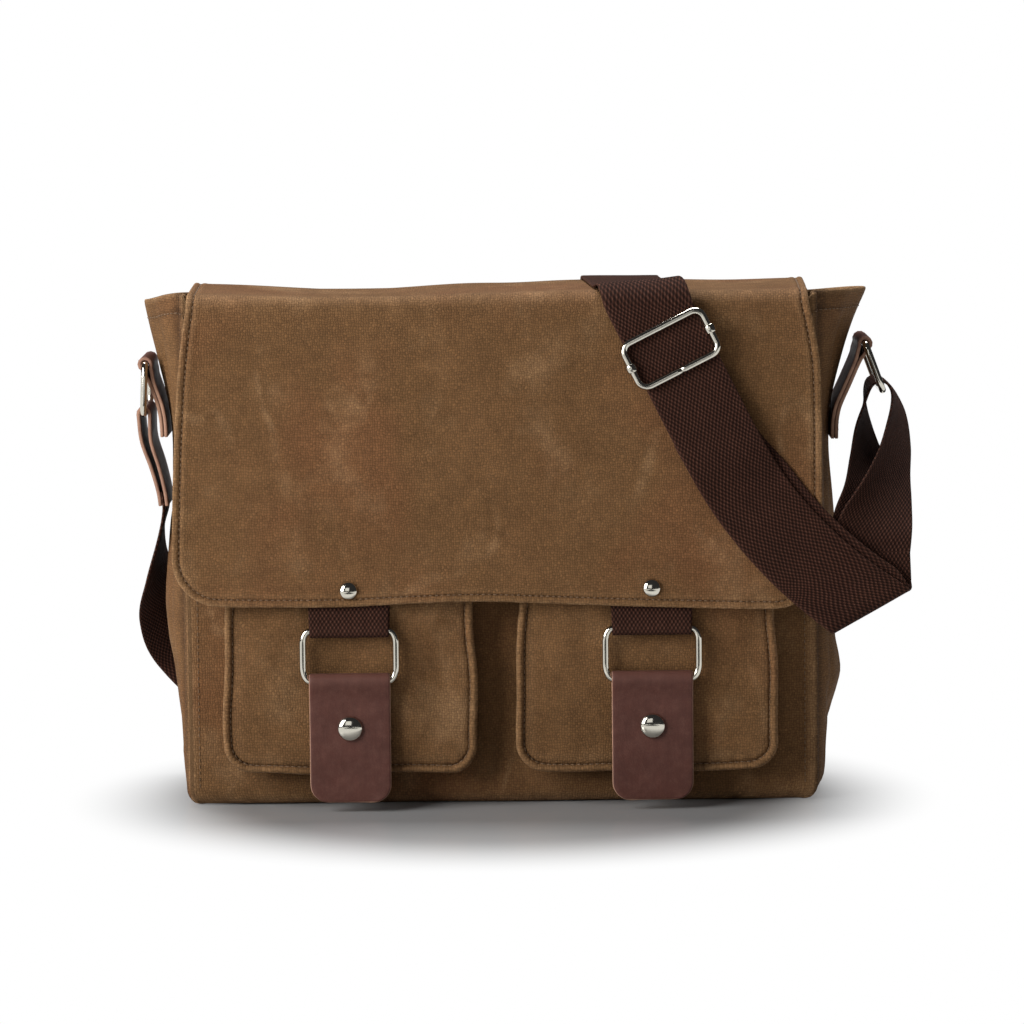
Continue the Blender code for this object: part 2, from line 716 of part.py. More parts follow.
SLIDER_ALONG = Vector((math.sin(SLIDER_ANGLE),
                       -math.cos(SLIDER_ANGLE) * math.sin(FRONT_TILT),
                       -math.cos(SLIDER_ANGLE) * math.cos(FRONT_TILT)))
SLIDER_NORMAL = Vector(FLAP_NORMAL)
SLIDER_ACROSS = SLIDER_NORMAL.cross(SLIDER_ALONG)        # to the right
SLIDER_ORIGIN = Vector(on_flap(SLIDER_X, SLIDER_DOWN, 0.0))


def slider_point(across, along, lift):
    return tuple(SLIDER_ORIGIN + SLIDER_ACROSS * across + SLIDER_ALONG * along
                 + SLIDER_NORMAL * lift)


def build_slider_frame():
    """The wire frame over the strap."""
    outline = rounded_rect(SLIDER_W / 2, SLIDER_H / 2, SLIDER_CORNER)
    wire_ring("slider_frame",
              [slider_point(across, along, FRAME_LIFT) for across, along in outline])


def build_slider_bar():
    """A rod under the strap, with a post at each end and an eyelet round the
    frame's short sides."""
    half = SLIDER_W / 2
    rod_half = half + 0.6
    bar = rod_between("slider_bar", slider_point(-rod_half, 0, BAR_LIFT),
                      slider_point(rod_half, 0, BAR_LIFT), BAR_R)
    ends = ((0, -half), (2, half))             # number in the name, place across
    for number, across in ends:
        post = rod_between("bar_post_%d" % number,
                           slider_point(across, 0, BAR_LIFT - 0.9),
                           slider_point(across, 0, FRAME_LIFT - WIRE_R - 0.3),
                           POST_R, collection=CUTTERS)
        eye = rod_between("bar_eye_%d" % number,
                          slider_point(across, -EYE_LEN / 2, FRAME_LIFT),
                          slider_point(across, EYE_LEN / 2, FRAME_LIFT),
                          EYE_R, steps=16, collection=CUTTERS)
        join(bar, as_helper(post))
        join(bar, as_helper(eye))
    # bored last, so that the posts are cut too
    for number, across in ends:
        cut(bar, hole_cutter("bar_bore_%d" % number, slider_point(across, 0, FRAME_LIFT),
                             SLIDER_ALONG, EYE_BORE, 6.0))


def build_strap_end_loop():
    """The strap's end, folded round the bar."""
    radius = BAR_R + BAR_CLEARANCE + STRAP_T / 2
    path = [(20.0, LOW_LIFT), (8.0, LOW_LIFT)]           # (along, lift)
    path += arc((0.0, BAR_LIFT), radius, range(-90, -280, -30))
    path += [(5.0, OVER_LIFT + 1.6), (9.0, OVER_LIFT), (20.0, OVER_LIFT)]
    half = STRAP_HALF - 0.3
    sheet("strap_end_loop", path, 2, lambda point, side: slider_point(side * half, *point),
          STRAP_T, WEBBING)


# --------------------------------------------- strap loop at the right ring
# centre of the webbing (x, y, z) and the angle of its far edge from +X
RIGHT_LOOP = with_lengths([
    (182.5, -67.9, 127.0, 0), (183.5, -65.9, 136, 8), (186, -58, 148, 25),
    (189.5, -46, 160, 42), (194, -28, 176, 59), (197.6, -10, 192, 76),
    (198.6, -1, 201, 88), (196.6, 0, 206.6, 90), (192.6, 0, 208.9, 90),
    (188, 0, 206.4, 90), (184.4, -1, 198, 87), (182.4, -10, 187, 74),
    (184.0, -27.0, 174, 59), (186.6, -43.5, 160, 42), (184.5, -55.6, 148, 25),
    (183.0, -64.0, 136, 8), (182.3, -66.2, 127.0, 0)])


def build_right_loop():
    """Up from the fold, round the right ring and down again."""
    def point_at(length, side):
        x, y, z, degrees = spline(RIGHT_LOOP, length)
        angle = math.radians(degrees)
        across = side * STRAP_HALF
        return (x + across * math.cos(angle), y + across * math.sin(angle), z)

    sheet("strap_loop_right", evenly(0.0, RIGHT_LOOP[-1][0], 34), 2, point_at,
          STRAP_T, WEBBING)


# ------------------------------------------------------------------ assembly
def build_bag():
    build_body()
    for side in ("left", "right"):
        build_pocket(side)
    flap_layers = build_flap()
    for side in ("left", "right"):
        build_closure(side, flap_layers)
    for side, x_sign in (("left", -1), ("right", 1)):
        build_side_ring(side, x_sign)
        build_side_tab(side, x_sign)
    build_strap_end_leather()
    build_back_run()
    build_front_strap("strap_front_main", MAIN_RUNS, main_lift)
    build_front_strap("strap_front_return", RETURN_RUNS, low_lift)
    build_slider_frame()
    build_slider_bar()
    build_strap_end_loop()
    build_right_loop()


build_bag()
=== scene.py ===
"""Looks of the canvas messenger bag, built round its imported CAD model."""

import math

import bmesh
import bpy
import numpy as np
from mathutils import Matrix, Vector


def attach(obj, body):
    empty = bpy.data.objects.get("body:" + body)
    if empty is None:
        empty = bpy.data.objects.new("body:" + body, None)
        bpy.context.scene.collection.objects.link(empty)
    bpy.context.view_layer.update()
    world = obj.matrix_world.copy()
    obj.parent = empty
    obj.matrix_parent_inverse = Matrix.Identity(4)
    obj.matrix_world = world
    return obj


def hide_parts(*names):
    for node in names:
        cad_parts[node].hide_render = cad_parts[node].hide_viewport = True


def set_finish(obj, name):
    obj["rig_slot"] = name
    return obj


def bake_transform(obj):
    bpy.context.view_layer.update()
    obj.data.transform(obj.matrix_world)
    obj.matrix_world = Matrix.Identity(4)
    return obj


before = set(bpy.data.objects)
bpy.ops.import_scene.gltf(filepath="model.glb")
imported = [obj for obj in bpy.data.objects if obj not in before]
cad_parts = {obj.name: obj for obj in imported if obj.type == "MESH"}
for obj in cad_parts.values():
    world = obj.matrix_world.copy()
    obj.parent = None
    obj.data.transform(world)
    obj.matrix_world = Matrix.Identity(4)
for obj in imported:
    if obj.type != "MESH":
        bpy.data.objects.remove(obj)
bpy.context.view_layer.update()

MM = 0.001
PI = math.pi

# ------------------------------------------------------------- sizes, in mm
HALF_W, HALF_D, PANEL_H, BACK_H = 158.0, 50.0, 252.0, 249.5
HINGE_Y, HINGE_Z, BACK_R = 51.0, 252.0, 6.0
TOP_Z = HINGE_Z + BACK_R
FRONT_BEND_Y, FRONT_R = -47.0, 8.5
FRONT_TILT = math.radians(7.4)
FLAP_LEN, FLAP_CORNER = 262.6, 24.0
POCKET_X = ((-138.0, -13.0), (8.0, 137.0))
POCKET_TOP, POCKET_BOTTOM, POCKET_Y, POCKET_T = 137.0, 18.8, -66.0, 1.5
CLOSURE_X = (-75.5, 75.0)
WEB_HALF, WEB_T, LEATHER_HALF, LEATHER_T = 20.0, 1.3, 20.2, 2.0
RING_W, RING_H, WIRE_R = 46.4, 25.0, 1.7
RING_TOP = (-71.9, 91.0)
RIVET_S, SNAP_Z, TAB_END = 254.0, 42.4, 5.2
STRAP_HALF, STRAP_T = 20.0, 1.3
SLIDER_X, SLIDER_S = 85.3, 135.9
SLIDER_DIR = math.radians(26.5)
SLIDER_W, SLIDER_H, BAR_R = 43.6, 23.8, 1.4
GAP = 0.3
W_LOW = GAP + STRAP_T / 2
W_OVER = W_LOW + STRAP_T + GAP
W_BAR = GAP + STRAP_T + 0.2 + BAR_R
W_HIGH = 2 * W_BAR + GAP + STRAP_T / 2
W_FRAME = W_HIGH + STRAP_T / 2 + GAP + WIRE_R
SIDE_TOP = {"right": (185.0, 228.0), "left": (178.5, 221.0)}
SIDE_LOW = {"right": (193.65, 204.4), "left": (179.5, 195.9)}
SIDE_FOOT = {"right": 180.0, "left": 184.0}
SIDE_T = 2.2
OUTER_T, LINING_T = 1.2, 1.0

rng = np.random.default_rng(11)


# ------------------------------------------------------------------ helpers
def curve(knots, x):
    """Smooth interpolation of (x, value...) knots at an array x."""
    k = np.array(knots, float)
    xs, ys = k[:, 0], k[:, 1:]
    x = np.asarray(x, float)
    n = len(xs)
    slope = np.empty_like(ys)
    slope[1:-1] = (ys[2:] - ys[:-2]) / (xs[2:] - xs[:-2])[:, None]
    slope[0] = (ys[1] - ys[0]) / (xs[1] - xs[0])
    slope[-1] = (ys[-1] - ys[-2]) / (xs[-1] - xs[-2])
    i = np.clip(np.searchsorted(xs, x, "right") - 1, 0, n - 2)
    h = xs[i + 1] - xs[i]
    t = np.clip((x - xs[i]) / h, 0, 1)[..., None]
    h = h[..., None]
    out = ((2 * t**3 - 3 * t**2 + 1) * ys[i] + (t**3 - 2 * t**2 + t) * slope[i] * h
           + (-2 * t**3 + 3 * t**2) * ys[i + 1] + (t**3 - t**2) * slope[i + 1] * h)
    return out[..., 0] if out.shape[-1] == 1 else out


def smooth(t):
    t = np.clip(t, 0.0, 1.0)
    return t * t * (3 - 2 * t)


def bump(d, width):
    return np.exp(-(d / width) ** 2)


def along(points):
    p = np.array(points, float)
    d = np.r_[0, np.cumsum(np.linalg.norm(np.diff(p[:, :3], axis=0), axis=1))]
    return np.c_[d, p]


def lines(length, step, edge=0.45):
    """Grid lines over a length, with close lines at both ends so that the edge
    of a thick sheet can be rounded."""
    n = max(int(round((length - 5 * edge) / step)), 2)
    inner = np.linspace(2.5 * edge, length - 2.5 * edge, n + 1)
    return np.r_[0, edge, inner, length - edge, length]


HEM_STEPS = np.array([0, 0.4, 0.9, 1.5, 2.1, 2.7, 3.2, 3.6, 4.0, 4.5, 5.1, 6.0, 7.2])


def hem_lines(length, step, first=True, last=True):
    """Grid lines over a length, close together where a hem is folded and sewn."""
    a = HEM_STEPS if first else HEM_STEPS[:2]
    b = length - (HEM_STEPS if last else HEM_STEPS[:2])[::-1]
    n = max(int(round((b[0] - a[-1]) / step)), 2)
    return np.r_[a, np.linspace(a[-1], b[0], n + 1)[1:-1], b]


def folds(a, b, size, seed, count=9, along_a=1.0, along_b=1.0):
    """Soft irregular waves about -1..1 over the plane (a, b), of about that size."""
    r = np.random.default_rng(seed)
    out = np.zeros(np.broadcast(a, b).shape)
    for _ in range(count):
        k = 2 * PI / (size * r.uniform(0.7, 1.9))
        th = r.uniform(0, 2 * PI)
        out = out + np.sin(k * (a * math.cos(th) / along_a + b * math.sin(th) / along_b)
                           + r.uniform(0, 2 * PI))
    return out / math.sqrt(count)


def unit(v):
    return v / np.maximum(np.linalg.norm(v, axis=-1, keepdims=True), 1e-12)


def build(name, verts, faces, uvs=None, attrs=None, mat=None):
    """A mesh object from arrays: verts in mm, quads, per-vertex uv in mm."""
    verts = np.asarray(verts, float)
    faces = np.asarray(faces, np.int32)
    mesh = bpy.data.meshes.new(name)
    mesh.vertices.add(len(verts))
    mesh.vertices.foreach_set("co", (verts * MM).astype(np.float32).ravel())
    k = faces.shape[1]
    mesh.loops.add(faces.size)
    mesh.loops.foreach_set("vertex_index", faces.ravel())
    mesh.polygons.add(len(faces))
    mesh.polygons.foreach_set("loop_start", np.arange(0, faces.size, k, dtype=np.int32))
    mesh.polygons.foreach_set("loop_total", np.full(len(faces), k, np.int32))
    mesh.polygons.foreach_set("use_smooth", np.ones(len(faces), bool))
    if uvs is not None:
        layer = mesh.uv_layers.new(name="cloth")
        uvs = np.asarray(uvs, np.float32)
        layer.data.foreach_set("uv", uvs[faces.ravel()].ravel())
    mesh.update(calc_edges=True)
    mesh.validate()
    for key, values in (attrs or {}).items():
        attr = mesh.attributes.new(key, "FLOAT", "POINT")
        attr.data.foreach_set("value", np.asarray(values, np.float32).ravel())
    obj = bpy.data.objects.new(name, mesh)
    bpy.context.scene.collection.objects.link(obj)
    if mat is not None:
        mesh.materials.append(mat)
    return obj


def face_out(obj):
    """Makes every closed shell of a mesh face outwards."""
    bm = bmesh.new()
    bm.from_mesh(obj.data)
    bmesh.ops.recalc_face_normals(bm, faces=bm.faces)
    bm.to_mesh(obj.data)
    bm.free()
    return obj


def sheet_arrays(P, uv, thick, wrap=False, offset=0.0, attrs=None, round_ends=True,
                 ends=(True, True), edge=(0.35, 0.86)):
    """Both faces and the rim of a thick sheet over a grid P (rows, columns, 3)."""
    n, m = P.shape[:2]
    du = np.gradient(P, axis=0)
    if wrap:
        dv = (np.roll(P, -1, 1) - np.roll(P, 1, 1)) / 2
    else:
        dv = np.gradient(P, axis=1)
    N = unit(np.cross(dv, du))
    T = np.full((n, m), float(thick)) if np.isscalar(thick) else np.array(thick, float)
    if round_ends:
        prof = np.ones((n, m))
        for has, outer, inner in ((ends[0], 0, 1), (ends[1], -1, -2)):
            if has:
                prof[outer] *= edge[0]
                prof[inner] *= edge[1]
        if not wrap:
            prof[:, 0] *= edge[0]
            prof[:, -1] *= edge[0]
            prof[:, 1] *= edge[1]
            prof[:, -2] *= edge[1]
        T = T * np.maximum(prof, 0.3)
    top = P + N * (T * (0.5 + offset))[..., None]
    low = P - N * (T * (0.5 - offset))[..., None]
    verts = np.concatenate([top.reshape(-1, 3), low.reshape(-1, 3)])
    idx = np.arange(n * m).reshape(n, m)
    nm = n * m
    cols = m if wrap else m - 1
    j = np.arange(cols)
    jn = (j + 1) % m
    a, b = idx[:-1][:, j], idx[:-1][:, jn]
    c, d = idx[1:][:, jn], idx[1:][:, j]
    faces = [np.stack([a, b, c, d], -1).reshape(-1, 4),
             np.stack([d, c, b, a], -1).reshape(-1, 4) + nm]
    rim = []
    for r, flip, has in ((0, False, ends[0]), (n - 1, True, ends[1])):
        if not has:
            continue
        p, q = idx[r][j], idx[r][jn]
        quad = np.stack([p, p + nm, q + nm, q], -1)
        rim.append(quad[:, ::-1] if flip else quad)
    if not wrap:
        i = np.arange(n - 1)
        for cidx, flip in ((0, True), (m - 1, False)):
            p, q = idx[i, cidx], idx[i + 1, cidx]
            quad = np.stack([p, p + nm, q + nm, q], -1)
            rim.append(quad[:, ::-1] if flip else quad)
    faces = np.concatenate(faces + rim)
    uvs = np.concatenate([uv.reshape(-1, 2), uv.reshape(-1, 2)])
    out = {k: np.concatenate([np.ravel(v), np.ravel(v)]) for k, v in (attrs or {}).items()}
    rimness = np.zeros((n, m))
    rimness[0], rimness[-1] = float(ends[0]), float(ends[1])
    if not wrap:
        rimness[:, 0] = rimness[:, -1] = 1
    out["rim"] = np.concatenate([rimness.ravel(), rimness.ravel()])
    if "dist" not in out:
        out["dist"] = np.full(2 * nm, 60.0)
    side = np.zeros(2 * nm)
    side[nm:] = 1
    out["inside"] = side
    return verts, faces, uvs, out, N


def sheet(name, P, uv, thick, mat, **kw):
    verts, faces, uvs, attrs, _ = sheet_arrays(P, uv, thick, **kw)
    return face_out(build(name, verts, faces, uvs, attrs, mat))


def joined(name, parts, mat):
    """One object of several (verts, faces, uvs, attrs) sheets."""
    verts, faces, uvs, keys, base = [], [], [], {}, 0
    for v, f, u, a, *_ in parts:
        verts.append(v)
        faces.append(f + base)
        uvs.append(u)
        for k in a:
            keys.setdefault(k, []).append((base, a[k]))
        base += len(v)
    attrs = {}
    for k, chunks in keys.items():
        values = np.zeros(base)
        for start, a in chunks:
            values[start:start + len(a)] = a
        attrs[k] = values
    return face_out(build(name, np.concatenate(verts), np.concatenate(faces),
                          np.concatenate(uvs), attrs, mat))


def tube(name, pts, radius, mat, closed=False, sides=16):
    """A round wire through pts, radius a number or one per point."""
    P = np.asarray(pts, float)
    n = len(P)
    R = np.full(n, float(radius)) if np.isscalar(radius) else np.asarray(radius, float)
    if closed:
        T = unit(np.roll(P, -1, 0) - np.roll(P, 1, 0))
    else:
        T = unit(np.gradient(P, axis=0))
    ref = np.array([0.31, 0.17, 0.94])
    nrm = np.empty_like(P)
    v = np.cross(T[0], ref)
    v /= np.linalg.norm(v)
    for i in range(n):
        v = v - T[i] * (v @ T[i])
        v /= np.linalg.norm(v)
        nrm[i] = v
    if closed:                                       # spread the twist out evenly
        v = nrm[-1] - T[0] * (nrm[-1] @ T[0])
        v /= np.linalg.norm(v)
        ang = math.atan2(np.cross(v, nrm[0]) @ T[0], v @ nrm[0])
    else:
        ang = 0.0
    B = np.cross(T, nrm)
    th = 2 * PI * np.arange(sides) / sides
    rows = []
    for i in range(n):
        a = th + ang * i / n
        rows.append(P[i] + R[i] * (np.cos(a)[:, None] * nrm[i] + np.sin(a)[:, None] * B[i]))
    verts = np.concatenate(rows)
    idx = np.arange(n * sides).reshape(n, sides)
    nxt = np.roll(idx, -1, 1)
    if closed:
        a, b = idx, nxt
        c, d = np.roll(nxt, -1, 0), np.roll(idx, -1, 0)
    else:
        a, b, c, d = idx[:-1], nxt[:-1], nxt[1:], idx[1:]
    faces = np.stack([a, b, c, d], -1).reshape(-1, 4)
    if not closed:                                   # caps: fans to a centre point
        verts = np.concatenate([verts, P[:1] - T[:1] * R[0] * 0.35, P[-1:] + T[-1:] * R[-1] * 0.35])
        for row, centre, flip in ((idx[0], n * sides, True), (idx[-1], n * sides + 1, False)):
            for k in range(0, sides, 2):
                q = [row[k], row[(k + 1) % sides], row[(k + 2) % sides], centre]
                faces = np.concatenate([faces, [q[::-1] if flip else q]])
    length = np.r_[0, np.cumsum(np.linalg.norm(np.diff(P, axis=0), axis=1))]
    uv = np.zeros((len(verts), 2))
    uv[:n * sides, 1] = np.repeat(length, sides)
    uv[:n * sides, 0] = np.tile(th * R.mean(), n)
    return face_out(build(name, verts, faces, uv, {}, mat))


def lathe_arrays(profile, centre, axis, steps=48):
    """A turned solid: profile of (radius, height) from the top down to the foot.
    It starts and ends on the axis, or closes on itself."""
    prof = np.array(profile, float)
    axis = Vector(axis).normalized()
    q = Vector((0, 0, 1)).rotation_difference(axis).to_matrix()
    q = np.array(q)
    th = 2 * PI * np.arange(steps) / steps
    n = len(prof)
    ring = np.empty((n, steps, 3))
    ring[..., 0] = prof[:, :1] * np.cos(th)
    ring[..., 1] = prof[:, :1] * np.sin(th)
    ring[..., 2] = prof[:, 1:2]
    solid = prof[0, 0] < 1e-6
    idx = np.arange(n * steps).reshape(n, steps)
    nxt = np.roll(idx, -1, 1)
    if solid:
        a, b, c, d = idx[:-1], nxt[:-1], nxt[1:], idx[1:]
    else:
        a, b, c, d = idx, nxt, np.roll(nxt, -1, 0), np.roll(idx, -1, 0)
    faces = np.stack([a, b, c, d], -1).reshape(-1, 4)
    verts = ring.reshape(-1, 3) @ q.T + np.array(centre)
    uv = np.stack([np.tile(th * 4, n), np.repeat(prof[:, 0] * 2 + prof[:, 1], steps)], -1)
    return verts, faces, uv, {}


def lathe(name, profile, centre, axis, mat, steps=48):
    obj = build(name, *lathe_arrays(profile, centre, axis, steps), mat=mat)
    bm = bmesh.new()
    bm.from_mesh(obj.data)
    bmesh.ops.remove_doubles(bm, verts=bm.verts, dist=1e-6)
    bmesh.ops.dissolve_degenerate(bm, edges=bm.edges, dist=1e-7)
    bmesh.ops.recalc_face_normals(bm, faces=bm.faces)
    bm.to_mesh(obj.data)
    bm.free()
    for p in obj.data.polygons:
        p.use_smooth = True
    return obj


def sharp(obj, degrees=38):
    obj.data.set_sharp_from_angle(angle=math.radians(degrees))
    return obj


def stitches(path, normal, pitch=3.0, length=2.35, radius=0.36, sink=0.1, skip=None):
    """Arrays of a row of small raised stitches along a path (k, 3) with normals."""
    P = np.asarray(path, float)
    d = np.r_[0, np.cumsum(np.linalg.norm(np.diff(P, axis=0), axis=1))]
    count = max(int(d[-1] / pitch), 1)
    mid = (np.arange(count) + 0.5) * (d[-1] / count)
    prof = np.array([[-0.5, 0.45, -0.95], [-0.33, 0.85, 0.05], [0, 1.0, 0.42],
                     [0.33, 0.85, 0.05], [0.5, 0.45, -0.95]])
    sides = 6
    th = 2 * PI * np.arange(sides) / sides

    def at(x, A):
        return np.stack([np.interp(x, d, A[:, i]) for i in range(3)], -1)
    N = np.asarray(normal, float)
    verts, faces, uv = [], [], []
    for k, s in enumerate(mid):
        if skip is not None and skip(at(s, P)):
            continue
        base = sum(len(v) for v in verts) if False else len(verts) * len(prof) * sides
        a = at(np.array([s + p[0] * length for p in prof]), P)
        n = unit(at(s, N))
        t = unit(a[-1] - a[0])
        b = np.cross(t, n)
        rows = []
        for (f, r, h), c in zip(prof, a):
            c = c + n * (radius * h - sink)
            rows.append(c + radius * r * (np.cos(th)[:, None] * n * 0.8 + np.sin(th)[:, None] * b))
        verts.append(np.concatenate(rows))
        idx = np.arange(len(prof) * sides).reshape(len(prof), sides) + base
        nx = np.roll(idx, -1, 1)
        faces.append(np.stack([idx[:-1], nx[:-1], nx[1:], idx[1:]], -1).reshape(-1, 4))
        for row, flip in ((idx[0], True), (idx[-1], False)):
            q = np.array([[row[0], row[1], row[2], row[3]], [row[0], row[3], row[4], row[5]]])
            faces.append(q[:, ::-1] if flip else q)
        uv.append(np.stack([np.tile(th, len(prof)), np.repeat(prof[:, 0] * length + s, sides)], -1))
    return (np.concatenate(verts), np.concatenate(faces), np.concatenate(uv), {})


# ---------------------------------------------------------------- materials
class Mat:
    """A small helper to write node materials down."""

    def __init__(self, name):
        self.m = bpy.data.materials.new(name)
        self.m.use_nodes = True
        self.t = self.m.node_tree
        self.t.nodes.clear()
        self.out = self.t.nodes.new("ShaderNodeOutputMaterial")
        self.bsdf = self.t.nodes.new("ShaderNodeBsdfPrincipled")
        self.t.links.new(self.bsdf.outputs[0], self.out.inputs[0])
        self._uv = None

    def put(self, socket, value):
        if isinstance(value, bpy.types.NodeSocket):
            self.t.links.new(value, socket)
        elif isinstance(value, (tuple, list)) and len(value) == 3 and socket.type == "RGBA":
            socket.default_value = (*value, 1.0)
        else:
            socket.default_value = value

    def node(self, kind, **props):
        n = self.t.nodes.new(kind)
        for k, v in props.items():
            setattr(n, k, v)
        return n

    def math(self, op, a, b=0.0, c=None, clamp=False):
        n = self.node("ShaderNodeMath", operation=op, use_clamp=clamp)
        self.put(n.inputs[0], a)
        self.put(n.inputs[1], b)
        if c is not None:
            self.put(n.inputs[2], c)
        return n.outputs[0]

    def add(self, a, b):
        return self.math("ADD", a, b)

    def mul(self, a, b):
        return self.math("MULTIPLY", a, b)

    def ramp(self, x, lo, hi, a=0.0, b=1.0, kind="SMOOTHSTEP"):
        n = self.node("ShaderNodeMapRange", interpolation_type=kind)
        self.put(n.inputs["Value"], x)
        self.put(n.inputs["From Min"], lo)
        self.put(n.inputs["From Max"], hi)
        self.put(n.inputs["To Min"], a)
        self.put(n.inputs["To Max"], b)
        return n.outputs["Result"]

    def mix(self, fac, a, b, mode="MIX"):
        n = self.node("ShaderNodeMix", data_type="RGBA", blend_type=mode)
        self.put(n.inputs[0], fac)
        self.put(n.inputs[6], a)
        self.put(n.inputs[7], b)
        return n.outputs[2]

    def scaled(self, colour, k):
        n = self.node("ShaderNodeVectorMath", operation="SCALE")
        self.put(n.inputs[0], colour)
        self.put(n.inputs["Scale"], k)
        return n.outputs[0]

    def vec(self, x, y, z=0.0):
        n = self.node("ShaderNodeCombineXYZ")
        for s, v in zip(n.inputs, (x, y, z)):
            self.put(s, v)
        return n.outputs[0]

    def uv(self):
        if self._uv is None:
            n = self.node("ShaderNodeUVMap", uv_map="cloth")
            s = self.node("ShaderNodeSeparateXYZ")
            self.t.links.new(n.outputs[0], s.inputs[0])
            self._uv = (s.outputs[0], s.outputs[1], n.outputs[0])
        return self._uv

    def noise(self, vector, scale, detail=2.0, rough=0.5, dims="3D"):
        n = self.node("ShaderNodeTexNoise", noise_dimensions=dims)
        if dims == "1D":
            self.put(n.inputs["W"], vector)
        else:
            self.put(n.inputs["Vector"], vector)
        self.put(n.inputs["Scale"], scale)
        self.put(n.inputs["Detail"], detail)
        self.put(n.inputs["Roughness"], rough)
        return n.outputs[0]

    def white(self, w):
        n = self.node("ShaderNodeTexWhiteNoise", noise_dimensions="1D")
        self.put(n.inputs["W"], w)
        return n.outputs[0]

    def voronoi(self, vector, scale, feature="F1"):
        n = self.node("ShaderNodeTexVoronoi", feature=feature)
        self.put(n.inputs["Vector"], vector)
        self.put(n.inputs["Scale"], scale)
        return n.outputs["Distance"]

    def attr(self, name):
        return self.node("ShaderNodeAttribute", attribute_name=name).outputs["Fac"]

    def bump(self, height, distance_mm, strength=1.0, normal=None):
        n = self.node("ShaderNodeBump")
        self.put(n.inputs["Height"], height)
        n.inputs["Distance"].default_value = distance_mm * MM
        n.inputs["Strength"].default_value = strength
        if normal is not None:
            self.put(n.inputs["Normal"], normal)
        return n.outputs[0]

    def surface(self, colour, rough, normal=None, metal=0.0, sheen=0.0, coat=0.0, spec=0.5):
        b = self.bsdf.inputs
        self.put(b["Base Color"], colour)
        self.put(b["Roughness"], rough)
        self.put(b["Metallic"], metal)
        self.put(b["Specular IOR Level"], spec)
        b["Sheen Weight"].default_value = sheen
        b["Sheen Roughness"].default_value = 0.45
        b["Coat Weight"].default_value = coat
        b["Coat Roughness"].default_value = 0.3
        if normal is not None:
            self.put(b["Normal"], normal)
        return self.m


